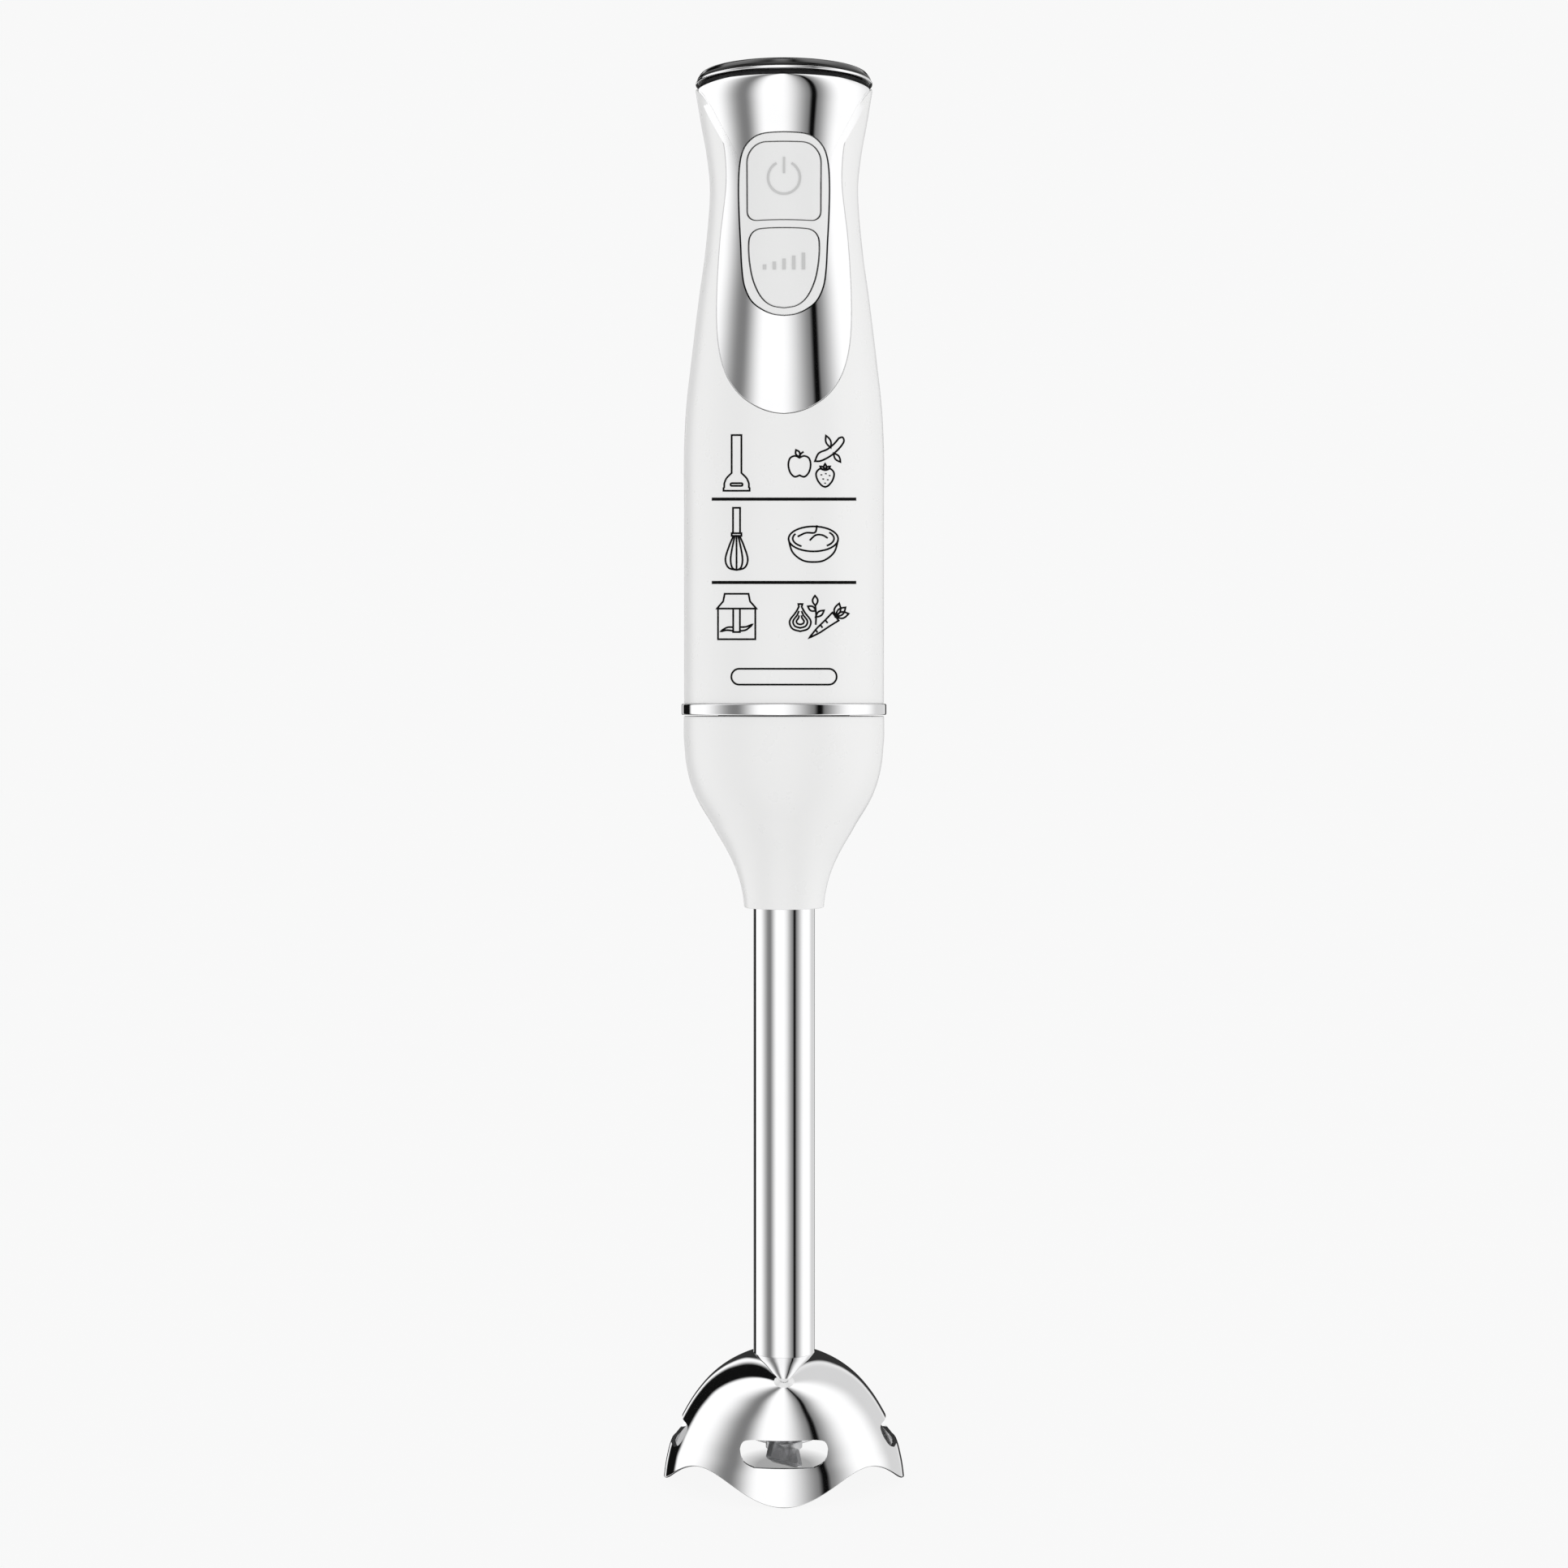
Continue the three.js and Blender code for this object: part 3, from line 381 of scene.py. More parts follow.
def skin(name, outline, offset, depth, fillet=0.25, roll=0.0, straight=False, rows=22, steps=4):
    """A curved plate on the handle inside an outline of (front x, height). Its edge is
    rounded, and its sides go inwards: towards the axis, or along Y where it is straight."""
    heights = outline[:, 1]
    angles = np.arcsin(np.clip(outline[:, 0] / (handle_radius(heights) + offset), -1, 1))
    middle = np.array([0.0, (heights.max() + heights.min()) / 2])
    scale = handle_radius(middle[1])
    flat = np.stack([angles * scale, heights], 1)
    inward = grown(flat, -1.0) - flat
    edge = []
    for k in range(steps + 1):
        turn = k / steps * math.pi / 2
        edge.append((fillet * (1 - math.sin(turn)), fillet * (1 - math.cos(turn))))
    rings = []
    base = flat + inward * fillet
    for share in np.linspace(0, 1, rows + 1)[1:-1]:
        ring = middle + (base - middle) * share
        rings.append(on_handle(ring[:, 0] / scale, ring[:, 1], offset, roll))
    for inset, drop in edge:
        ring = flat + inward * inset
        rings.append(on_handle(ring[:, 0] / scale, ring[:, 1], offset - drop, roll))
    front_centre = on_handle(0, middle[1], offset, roll)
    if straight:
        back = [ring + [0, depth, 0] for ring in rings[::-1]]
        back[0] = rings[-1] + [0, depth - fillet, 0]
        back_centre = front_centre + [0, depth, 0]
    else:
        back = []
        for share in np.linspace(1, 0, 5)[:-1]:
            ring = middle + (flat - middle) * share
            back.append(on_handle(ring[:, 0] / scale, ring[:, 1], offset - depth, roll))
        back_centre = on_handle(0, middle[1], offset - depth, roll)
    points, faces = bridge(rings + back, front_centre, back_centre)
    return mesh_object(name, points, faces)


def prism(outline, front, back):
    """A straight bar along Y with the outline (x, z) as its section."""
    across, up = outline.T
    rings = [np.stack([across, np.full(len(outline), y), up], 1) for y in (front, back)]
    middle = outline.mean(0)
    points, faces = bridge(rings, (middle[0], front, middle[1]), (middle[0], back, middle[1]))
    return mesh_object("cutter", points, faces)


def cut(piece, *cutters, operation="DIFFERENCE"):
    """Cuts the cutters out of the piece for good, and removes them."""
    for cutter in cutters:
        modifier = piece.modifiers.new("cut", "BOOLEAN")
        modifier.operation = operation
        modifier.solver = "MANIFOLD"
        modifier.object = cutter
        bpy.context.view_layer.update()
        graph = bpy.context.evaluated_depsgraph_get()
        made = bpy.data.meshes.new_from_object(piece.evaluated_get(graph))
        piece.modifiers.clear()
        piece.data = made
        bpy.data.objects.remove(cutter)
    return piece


def extruded(name, outline, bottom, top, bevel=0.0):
    """An outline (x, y) standing from bottom to top."""
    drawn_in = grown(outline, -bevel)
    levels = [(drawn_in, bottom), (outline, bottom + bevel), (outline, top - bevel), (drawn_in, top)]
    rings = [np.column_stack([flat, np.full(len(flat), z)]) for flat, z in levels]
    middle = outline.mean(0)
    points, faces = bridge(rings, (*middle, bottom), (*middle, top))
    return outwards(mesh_object(name, points, [face[::-1] for face in faces]))


def outwards(piece):
    """Turns all faces outwards."""
    work = bmesh.new()
    work.from_mesh(piece.data)
    bmesh.ops.recalc_face_normals(work, faces=work.faces)
    work.to_mesh(piece.data)
    work.free()
    return piece


def place(piece, body, slot, look, *nodes):
    """Gives a finished piece its material and its body, and hides the nodes it stands for. Its slot is
    not used.
    """
    piece.data.materials.clear()
    piece.data.materials.append(look)
    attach(piece, body)
    if nodes:
        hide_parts(*nodes)
    return piece


# ------------------------------------------------------------------ materials
def add_node(tree, kind, inputs=None, **settings):
    """A node with its settings, and with inputs that are values, or sockets to link to."""
    node = tree.nodes.new(kind)
    for name, value in settings.items():
        setattr(node, name, value)
    for name, value in (inputs or {}).items():
        if isinstance(value, bpy.types.NodeSocket):
            tree.links.new(value, node.inputs[name])
        else:
            node.inputs[name].default_value = value
    return node


class Nodes:
    """A material's node tree, with its shader and object coordinates in millimetres."""

    def __init__(self, name):
        self.material = bpy.data.materials.new(name)
        self.material.use_nodes = True
        self.tree = self.material.node_tree
        self.shader = self.tree.nodes["Principled BSDF"]
        coordinates = self.add("ShaderNodeTexCoord")
        self.place = self.vector("SCALE", {0: coordinates.outputs["Object"], "Scale": 1 / MM}).outputs[0]

    def add(self, kind, inputs=None, **settings):
        return add_node(self.tree, kind, inputs, **settings)

    def vector(self, operation, inputs):
        return self.add("ShaderNodeVectorMath", inputs, operation=operation)

    def set(self, **values):
        for name, value in values.items():
            self.shader.inputs[name.replace("_", " ")].default_value = value
        return self

    def noise(self, size, detail=2.0, roughness=0.5, stretch=(1, 1, 1)):
        """Noise whose features are about size millimetres across."""
        mapping = self.add("ShaderNodeMapping", {"Vector": self.place, "Scale": stretch})
        inputs = {"Vector": mapping.outputs["Vector"], "Scale": 1.0 / size}
        inputs |= {"Detail": detail, "Roughness": roughness}
        return self.add("ShaderNodeTexNoise", inputs).outputs["Fac"]

    def height(self):
        return self.add("ShaderNodeSeparateXYZ", {0: self.place}).outputs["Z"]

    def oval(self, centre_y, half_x, half_y):
        """0 in the middle of an upright oval column round (0, centre_y), and 1 at its edge."""
        moved = self.vector("SUBTRACT", {0: self.place, 1: (0, centre_y, 0)})
        flat = self.vector("MULTIPLY", {0: moved.outputs[0], 1: (1 / half_x, 1 / half_y, 0)})
        return self.vector("LENGTH", {0: flat.outputs[0]}).outputs["Value"]

    def ramp(self, source, low, high, start=0.35, stop=0.65):
        """The source spread from low to high, which are numbers or colours."""
        if isinstance(low, tuple):
            share = self.ramp(source, 0.0, 1.0, start, stop)
            inputs = {"Factor": share, "A": (*low, 1), "B": (*high, 1)}
            return self.add("ShaderNodeMix", inputs, data_type="RGBA").outputs["Result"]
        inputs = {"Value": source, "From Min": start, "From Max": stop, "To Min": low, "To Max": high}
        return self.add("ShaderNodeMapRange", inputs).outputs["Result"]

    def wave(self, size, direction="Z", distortion=0.0):
        """Stripes about size millimetres apart."""
        inputs = {"Vector": self.place, "Scale": 0.314 / size, "Distortion": distortion}
        return self.add("ShaderNodeTexWave", inputs, bands_direction=direction).outputs["Fac"]

    def colour(self, source):
        self.tree.links.new(source, self.shader.inputs["Base Color"])

    def roughness(self, source):
        self.tree.links.new(source, self.shader.inputs["Roughness"])

    def finish(self, tone, colours, gloss, rough, relief, height, strength):
        """The finished material. A texture each leads its tone, its gloss and its relief, and
        colours ends with where the tone's ramp starts and stops."""
        self.colour(self.ramp(tone, *colours))
        self.roughness(self.ramp(gloss, *rough))
        self.bump(relief, height, strength)
        return self.material

    def bump(self, source, height, strength):
        """Relief of that height in millimetres."""
        inputs = {"Height": source, "Strength": strength, "Distance": height * MM}
        normal = self.add("ShaderNodeBump", inputs).outputs["Normal"]
        self.tree.links.new(normal, self.shader.inputs["Normal"])


def times(colour, share):
    return tuple(channel * share for channel in colour)


def moulded(name, colour, variation=0.02, rough=(0.25, 0.34), grain=0.35, relief=0.004):
    """Moulded plastic: faint drifts of tone, uneven gloss and a fine grain."""
    look = Nodes(name)
    colours = times(colour, 1 - variation), colour, 0.3, 0.7
    gloss, fine = look.noise(7, 4, 0.6), look.noise(grain, 3, 0.55)
    return look.finish(look.noise(18, 3), colours, gloss, rough, fine, relief, 0.6)


def plated(name, colour, rough=(0.025, 0.06)):
    """Bright plating on a smooth base: a mirror with faint haze and the slightest waviness."""
    look = Nodes(name).set(Metallic=1.0)
    colours = times(colour, 0.975), colour, 0.3, 0.7
    haze, waves = look.noise(9, 5, 0.65), look.noise(30, 1)
    return look.finish(look.noise(14, 3), colours, haze, rough, waves, 0.004, 0.4)


def smoked_with_painted_sheen(name, foot, crown, heights):
    """Smoked plating, black at the foot, with a painted reflection that makes it lighter towards the
    crown.
    """
    look = Nodes(name).set(Metallic=1.0)
    haze, waves = look.noise(9, 5, 0.65), look.noise(30, 1)
    return look.finish(look.height(), (foot, crown, *heights), haze, (0.1, 0.15), waves, 0.004, 0.4)


def brushed(name, colour, rough=(0.18, 0.34), stretch=(1, 1, 14), relief=0.003, contrast=0.14):
    """Ground or drawn steel: fine streaks across the stretched axis."""
    look = Nodes(name).set(Metallic=1.0, Anisotropic=0.35)
    streaks = look.noise(1.2, 5, 0.7, stretch)
    colours = times(colour, 1 - contrast), colour, 0.3, 0.7
    return look.finish(streaks, colours, streaks, rough, streaks, relief, 0.7)


def laminated(name, colour):
    """A stack of thin steel sheets, each an edge line."""
    look = Nodes(name).set(Metallic=0.85)
    sheets = look.wave(0.5)
    colours = times(colour, 0.45), colour, 0.1, 0.5
    return look.finish(sheets, colours, look.noise(2, 4), (0.38, 0.6), sheets, 0.05, 0.8)


def wound(name, colour):
    """Enamelled copper wire lying side by side."""
    look = Nodes(name).set(Metallic=0.9, Coat_Weight=0.6, Coat_Roughness=0.15)
    wires = look.wave(0.55, "DIAGONAL", 0.6)
    colours = times(colour, 0.35), colour, 0.15, 0.7
    return look.finish(wires, colours, look.noise(1.5, 3), (0.25, 0.42), wires, 0.12, 0.9)


def sintered(name, colour):
    """Porous sintered bronze."""
    look = Nodes(name).set(Metallic=0.9)
    pores = look.noise(0.35, 4, 0.7)
    colours = times(colour, 0.5), colour, 0.35, 0.55
    return look.finish(pores, colours, pores, (0.55, 0.32), pores, 0.02, 0.8)


def rubbery(name, colour):
    """Soft rubber with hardly any shine."""
    look = Nodes(name).set(Specular_IOR_Level=0.12)
    gloss, grain = look.noise(1.2, 3), look.noise(0.25, 3)
    colours = colour, times(colour, 1.5)
    return look.finish(look.noise(3, 4), colours, gloss, (0.55, 0.78), grain, 0.01, 0.7)


def printed(name):
    """Black ink, a little raised and uneven in gloss."""
    look = Nodes(name).set(Specular_IOR_Level=0.04)
    colours = (0.002,) * 3, (0.006,) * 3
    gloss, grain = look.noise(0.5, 3), look.noise(0.2, 2)
    return look.finish(look.noise(0.8, 4), colours, gloss, (0.5, 0.7), grain, 0.002, 0.5)


def board(name):
    """A circuit board: solder mask over faint tracks."""
    look = Nodes(name)
    tracks = look.wave(1.6, "X", 5.0)
    colours = (0.015, 0.07, 0.03), (0.05, 0.19, 0.08), 0.35, 0.5
    return look.finish(tracks, colours, look.noise(2, 3), (0.28, 0.45), tracks, 0.03, 0.6)


WHITE = moulded("white_plastic", (0.84, 0.84, 0.837), 0.008, (0.27, 0.31), relief=0.0003)
BUTTON = moulded("button_plastic", (0.80, 0.802, 0.80), 0.01, (0.36, 0.42), relief=0.0005)
# the raised marks on the keys: a darker grey that is painted shade, standing in for the shading of the
# raised lines
MARK_GREY_PAINTED_SHADE = moulded("mark_grey_painted_shade", (0.56, 0.562, 0.56), 0.03, (0.36, 0.44), relief=0.0008)
DARK = moulded("dark_plastic", (0.022, 0.023, 0.025), 0.25, (0.34, 0.5), relief=0.008)
GREY = moulded("grey_plastic", (0.30, 0.31, 0.32), 0.1, (0.4, 0.55), relief=0.008)
CARBON = moulded("carbon", (0.012, 0.012, 0.013), 0.4, (0.6, 0.8), grain=0.2, relief=0.012)
CHROME = plated("chrome", (0.955, 0.955, 0.96))
# the cap lid: smoked plating, with its lighter crown a painted reflection of a soft light above
SMOKED_WITH_PAINTED_SHEEN = smoked_with_painted_sheen("smoked_chrome_painted_sheen", (0.003,) * 3, (0.17,) * 3, (CAP_TOP - 2.3, CAP_TOP - 0.5))
STEEL = brushed("steel", (0.62, 0.62, 0.63))
BLADE_STEEL = brushed("blade_steel", (0.78, 0.785, 0.79), (0.3, 0.4), (1, 0.1, 1), 0.0004, 0.06)
BELL_INSIDE = brushed("bell_inside", (0.72, 0.72, 0.73), (0.16, 0.26), (1, 1, 6), 0.0015)
STACK = laminated("lamination", (0.30, 0.31, 0.33))
COPPER = wound("copper_winding", (0.62, 0.27, 0.12))
BRONZE = sintered("bronze", (0.42, 0.29, 0.14))
RUBBER = rubbery("rubber", (0.007, 0.007, 0.0075))
INK = printed("ink")
BOARD = board("board")

SLOT_LOOKS = {
    "white_plastic": WHITE, "chrome": CHROME, "button_plastic": BUTTON, "dark_plastic": DARK,
    "grey_plastic": GREY, "rubber": RUBBER, "steel": STEEL, "blade_steel": BLADE_STEEL,
    "lamination": STACK, "copper": COPPER, "bronze": BRONZE, "carbon": CARBON, "board": BOARD,
}


def dress_frame():
    """The CAD nodes that stay get a procedural material and softened edges."""
    slots = {part["node"]: part["material_slot"] for part in frame["record"]["subparts"]}
    for name, node in frame["nodes"].items():
        node.data.materials.clear()
        node.data.materials.append(SLOT_LOOKS[slots[name]])
        bevel = node.modifiers.new("soft_edges", "BEVEL")
        bevel.width = 0.12 * MM
        bevel.segments = 2
        bevel.limit_method = "ANGLE"
        bevel.angle_limit = math.radians(40)
        bevel.harden_normals = True
        node.data.shade_smooth()
        node.data.set_sharp_from_angle(angle=math.radians(35))


# ------------------------------------------------------------------ handle
PANEL_HALF = [
    (23.85, HANDLE_TOP), (19.6, 372.4), (17.3, 366.6), (16.0, 361.2), (15.5, 354.5),
    (15.7, 349.5), (16.4, 343.5), (17.2, 336.5), (17.9, 325), (18.05, 315.5), (17.6, 308.5),
    (16.5, 302.8), (14.6, 298), (11.4, 293.7), (7.2, 290.7), (3.3, 289.2), (0, 288.8),
]
PANEL_DEPTH = 0.9
FRAME_HALF = [
    (0, 363.9), (5.6, 363.6), (8.6, 362.4), (10.8, 359.9), (11.8, 356), (12.1, 350.5),
    (11.95, 343), (11.5, 334.5), (11.2, 328.5), (10.5, 323.4), (8.7, 319.3), (6.0, 316.9),
    (3, 315.5), (0, 315.1),
]
POWER_OUTLINE = [(9.85, 361.4, 4.9), (-9.85, 361.4, 4.9), (-9.75, 340.9, 2.4), (9.75, 340.9, 2.4)]
TURBO_HALF = [
    (0, 338.5), (5, 338.45), (7.4, 338.1), (8.9, 336.7), (9.35, 334.2), (9.1, 329.5),
    (8.1, 324.5), (6.1, 320.2), (3.4, 317.8), (0, 317.1),
]


def panel_outline():
    side = spline(PANEL_HALF, 110)
    across = np.linspace(0, 1, 30)[:-1]
    crown = HANDLE_TOP + (PANEL_TOP - HANDLE_TOP) * (1 - across**2)
    top = np.stack([across * side[0, 0], crown], 1)
    return mirrored(np.vstack([top, side]))


FRAME_OUTLINE = mirrored(spline(FRAME_HALF, 90))
POWER = filleted(POWER_OUTLINE, 9)
TURBO = mirrored(spline(TURBO_HALF, 60))
BUTTON_POINTS = 200
BUTTON_PROUD = 0.55  # how far the keys stand above the grip's surface
BUTTON_TRAVEL = 2.0
LUG_ANGLES = (-90, 30, 150)
SEAM = 0.3  # width of the dark lines round the buttons and their frame
PANEL_SEAM = 0.18  # width of the line round the panel
EYE_HEIGHT, EYE_DISTANCE = 212.7, 774.0  # of the eye that sees the printed artwork level


def front_hole(outline, count):
    """A cutter from in front of the grip to near its middle, a seam wider than the outline."""
    return prism(resampled(grown(outline, SEAM), count), -40, -5)


def move_by(x, y, z):
    return Matrix.Translation(Vector((x, y, z)) * MM)


def body_shell():
    """The white grip with a recess for the panel and a window behind the buttons."""
    wall, radius, fillet = 2.6, 27.3, 0.3
    bottom = HANDLE_BOTTOM - 0.35
    side = spline(HANDLE_OUTLINE, 90)
    inner = [(r - wall, z) for r, z in side[::-6]]
    foot = arc(radius - fillet, bottom + fillet, fillet, fillet, -90, 0, 4)
    shell = turned("grip_shell", [
        [*foot, (radius, bottom + 1), (radius, 240), *side],
        [tuple(side[-1]), inner[0]],
        [*inner, (radius - wall, bottom)],
        [(radius - wall, bottom), tuple(foot[0])],
    ])
    lift = 4.5  # the recess is cut from this far above the surface
    panel_edge = resampled(grown(panel_outline(), PANEL_SEAM), 260)
    panel_edge[:, 0] *= 1 + lift / handle_radius(panel_edge[:, 1])
    recess = skin("recess", panel_edge, lift, lift + PANEL_DEPTH + 0.2, 0.01, roll=1)
    shell = cut(shell, recess, front_hole(FRAME_OUTLINE, 160))
    boss_circle, boss_radii, boss_heights = 21.4, (1.6, 3.9), (216, 226)
    for angle in LUG_ANGLES:
        boss = washer("boss", boss_radii, boss_heights, (0.2, 0.2, 0.3, 0.3))
        turn = math.radians(angle)
        boss.data.transform(move_by(boss_circle * math.cos(turn), boss_circle * math.sin(turn), 0))
        shell = cut(shell, boss, operation="UNION")
    smooth(shell, [handle_surface()])
    place(shell, "handle", "white_plastic", WHITE, "body_shell")


def front_panel():
    outline = resampled(panel_outline(), 300)
    panel = skin("front_panel_skin", outline, 0.02, PANEL_DEPTH, 0.2, roll=1, rows=40)
    panel = cut(panel, front_hole(FRAME_OUTLINE, 160))
    smooth(panel, [handle_surface(0.02, 1, EASE)])
    place(panel, "handle", "chrome", CHROME, "front_panel")


def button_frame():
    proud = 0.3
    plate = skin("button_surround", resampled(FRAME_OUTLINE, 200), proud, 3.2, 0.35, rows=26)
    plate = cut(plate, front_hole(POWER, 150), front_hole(TURBO, 150))
    smooth(plate, [handle_surface(proud)])
    place(plate, "handle", "button_plastic", BUTTON, "button_frame")


def dense(line, longest=0.6):
    """The line without repeated points, and with points added so that no step is longer
    than that."""
    made = [line[0]]
    for start, end in zip(line, line[1:]):
        steps = math.ceil(np.linalg.norm(end - start) / longest)
        made += [start + (end - start) * k / steps for k in range(1, steps + 1)]
    return np.array(made)


def mitred_sides(line, loop):
    """For each point of a line, the step sideways that keeps a ribbon's width even."""
    ahead = np.roll(line, -1, 0) - line
    behind = line - np.roll(line, 1, 0)
    if not loop:
        ahead[-1], behind[0] = behind[-1], ahead[0]
    ahead = unit(ahead)
    along = unit(ahead + unit(behind), 1e-6)
    stretch = 1 / np.maximum((along * ahead).sum(1), 0.5)
    return np.stack([-along[:, 1], along[:, 0]], 1) * stretch[:, None]


def swept(line):
    """Artwork drawn flat, laid on the round handle so that it looks level from arm's length."""
    sagitta = handle_radius(line[:, 1]) - np.sqrt(handle_radius(line[:, 1]) ** 2 - line[:, 0] ** 2)
    rise = (line[:, 1] - EYE_HEIGHT) * sagitta / EYE_DISTANCE
    return line + np.stack([0 * rise, rise], 1)


def ribbons(name, strokes, half_width, base, height):
    """Raised lines that follow the handle along strokes of (front x, height), from base to
    base + height above its surface."""
    points, faces = [], []
    for stroke in strokes:
        line = swept(dense(np.array(stroke, float)))
        loop = np.allclose(line[0], line[-1])
        if loop:
            line = line[:-1]
        shift = mitred_sides(line, loop) * half_width
        start, count = len(points), len(line)
        for left, right in zip(line + shift, line - shift):
            for (x, z), lift in ((left, 0), (right, 0), (right, height), (left, height)):
                radius = handle_radius(z) + base + lift
                points.append((x, -math.sqrt(radius**2 - x**2), z))
        for k in range(count if loop else count - 1):
            here, there = start + 4 * k, start + 4 * ((k + 1) % count)
            for i in range(4):
                j = (i + 1) % 4
                faces.append([here + i, here + j, there + j, there + i])
        if not loop:
            last = start + 4 * (count - 1)
            faces.append([start + i for i in (3, 2, 1, 0)])
            faces.append([last + i for i in range(4)])
    return smooth(outwards(mesh_object(name, points, faces)), sharp=50)


def button_marks():
    """A standby mark on the upper button, and bars of growing height on the lower one."""
    base, height = BUTTON_PROUD - 0.05, 0.2
    z, radius = 352.0, 4.3
    mark = [arc(0, z, radius, radius, 118, 422, 48), [(0, z + 1.2), (0, z + 5.4)]]
    # the marks are drawn in a darker grey as painted shade
    piece = ribbons("power_mark", mark, 0.3, base, height)
    place(piece, "power_button", "button_plastic", MARK_GREY_PAINTED_SHADE)
    bars = [[((k - 2) * 2.6, 327.3), ((k - 2) * 2.6, 328.6 + 0.8 * k)] for k in range(5)]
    piece = ribbons("boost_mark", bars, 0.45, base, height)
    place(piece, "turbo_button", "button_plastic", MARK_GREY_PAINTED_SHADE)


def buttons():
    """The two keys, each with a retaining flange and a post towards its switch."""
    depth, flange_from, flange_depth, flange_reach, post_radius = 5.0, 3.4, 1.1, 0.7, 1.7
    for key_name, name, outline, post_height in (
        ("power_key", "power", POWER, 354),
        ("turbo_key", "turbo", TURBO, 325),
    ):
        edge = resampled(outline, BUTTON_POINTS)
        key = skin(key_name, edge, BUTTON_PROUD, depth, 0.45, straight=True, rows=16)
        wide = resampled(grown(outline, flange_reach), BUTTON_POINTS)
        flange = skin("flange", wide, -flange_from, flange_depth, 0.1)
        switch_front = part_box(f"{name}_switch")[0].y / MM
        tip = switch_front - BUTTON_TRAVEL - 0.4
        round_post = arc(0, post_height, post_radius, post_radius, 0, 360, 32)[:-1]
        post = prism(round_post, -18, tip)
        key = cut(key, flange, post, operation="UNION")
        key.name = key_name
        smooth(key, [handle_surface(BUTTON_PROUD)])
        place(key, f"{name}_button", "button_plastic", BUTTON, f"{name}_button")
    button_marks()


def return_spring(name, node):
    """A coil spring behind a button."""
    wire, turns, sides = 0.3, 4, 8
    low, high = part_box(node)
    front, back = low.y / MM + wire, high.y / MM - wire
    middle = (low.z + high.z) / 2 / MM
    radius = (high.z - low.z) / 2 / MM - wire
    section = np.arange(sides) * 2 * math.pi / sides
    reach = radius + wire * np.cos(section)
    rings = []
    for share in np.linspace(0, 1, turns * 24 + 1):
        turn = 2 * math.pi * turns * share
        y = front + (back - front) * share + wire * np.sin(section)
        rings.append(np.stack([reach * math.cos(turn), y, middle + reach * math.sin(turn)], 1))
    points, faces = bridge(rings, rings[0].mean(0), rings[-1].mean(0))
    coil = smooth(outwards(mesh_object(name, points, faces)), sharp=60)
    place(coil, "handle", "steel", STEEL, node)
    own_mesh(coil)


def inlet_y():
    """The middle of the lead's inlet in the cap, from front to back."""
    low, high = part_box("cord_gland")
    return (low.y + high.y) / 2 / MM


def cap():
    """The cap: a smoked chrome lid whose lighter crown is a painted reflection, with a bright bead at
    its foot, over a dark seal.
    """
    low, high = span("top_cap")
    seal_low, seal_high = span("cap_gasket")
    spigot, inside, wall = 20.4, 18.4, 2.2
    lid_foot = seal_high + 0.3
    bead = lid_foot + 0.42
    ceiling = high - wall
    lid = filleted([
        (0, ceiling, 0), (inside, ceiling, 0.4), (inside, low, 0.3), (spigot, low, 0.3),
        (spigot, lid_foot, 0), (23.5, lid_foot, 0.1), (23.5, bead + 0.7, 0.05),
        (23.9, bead + 0.75, 0.3), (22.6, high, 1.3), (0, high, 0),
    ], 6)
    piece = turned("cap_lid", [supported(lid)])
    hole = rod("hole", 5.45, (high - 4, high + 2))
    hole.data.transform(move_by(0, inlet_y(), 0))
    piece = cut(piece, hole)
    smooth(piece, [flat_top(high), flat_top(ceiling)], sharp=30)
    # the lid's black-to-grey ramp with height is a painted reflection
    place(piece, "handle", "chrome", SMOKED_WITH_PAINTED_SHEEN, "top_cap")
    half, seal_inner, seal_outer = 0.34, 21.4, 23.2
    heights, fillets = (bead - half, bead + half), (0.1, 0.3, 0.3, 0.1)
    bright = washer("cap_bead", (22.9, 24.1), heights, fillets, ROUND, 6)
    place(bright, "handle", "chrome", CHROME)
    seal = lathe("cap_seal", [
        (seal_inner, seal_low, 0.05), (seal_outer, seal_low + 0.5, 0.1),
        (seal_outer, seal_high, 0.1), (seal_inner, seal_high, 0.05),
    ], ROUND)
    place(seal, "handle", "rubber", RUBBER, "cap_gasket")
    for one in (piece, bright, seal):
        one.visible_glossy = False  # so that the rolled top of the panel stays bright


def flat_top(height):
    """A level surface, for exact normals on a flat face."""

    def look(points):
        nearest = points.copy()
        nearest[:, 2] = height
        return nearest, np.tile([0.0, 0.0, 1.0], (len(points), 1))

    return look


def cord_gland():
    """The ring of the mains lead's inlet, with a rolled lip and a retaining flange."""
    low, high = span("cord_gland")
    bore, flange, waist, lip = 3.8, 7.1, 5.15, 4.95
    gland = lathe("inlet_gland", [
        (bore, low, 0.4), (flange, low, 0.3), (flange, low + 1.35, 0.2), (waist, low + 1.35, 0),
        (waist, high - 0.5, 0), (lip, high - 0.45, 0), (lip, high, 0.35), (bore, high, 0.45),
    ])
    gland.data.transform(move_by(0, inlet_y(), 0))
    place(gland, "handle", "rubber", RUBBER, "cord_gland")


def trim_ring():
    low, high = span("trim_ring")
    outer, step, inner = radius_of("trim_ring"), 27.0, 18.6
    band = lathe("trim_band", [
        (inner, low, 0.3), (outer, low, 0.35), (outer, high, 0.35), (step, high, 0.1),
        (step, high - 0.25, 0.05), (inner, high - 0.25, 0.3),
    ], ROUND, 6)
    place(band, "handle", "chrome", CHROME, "trim_ring")


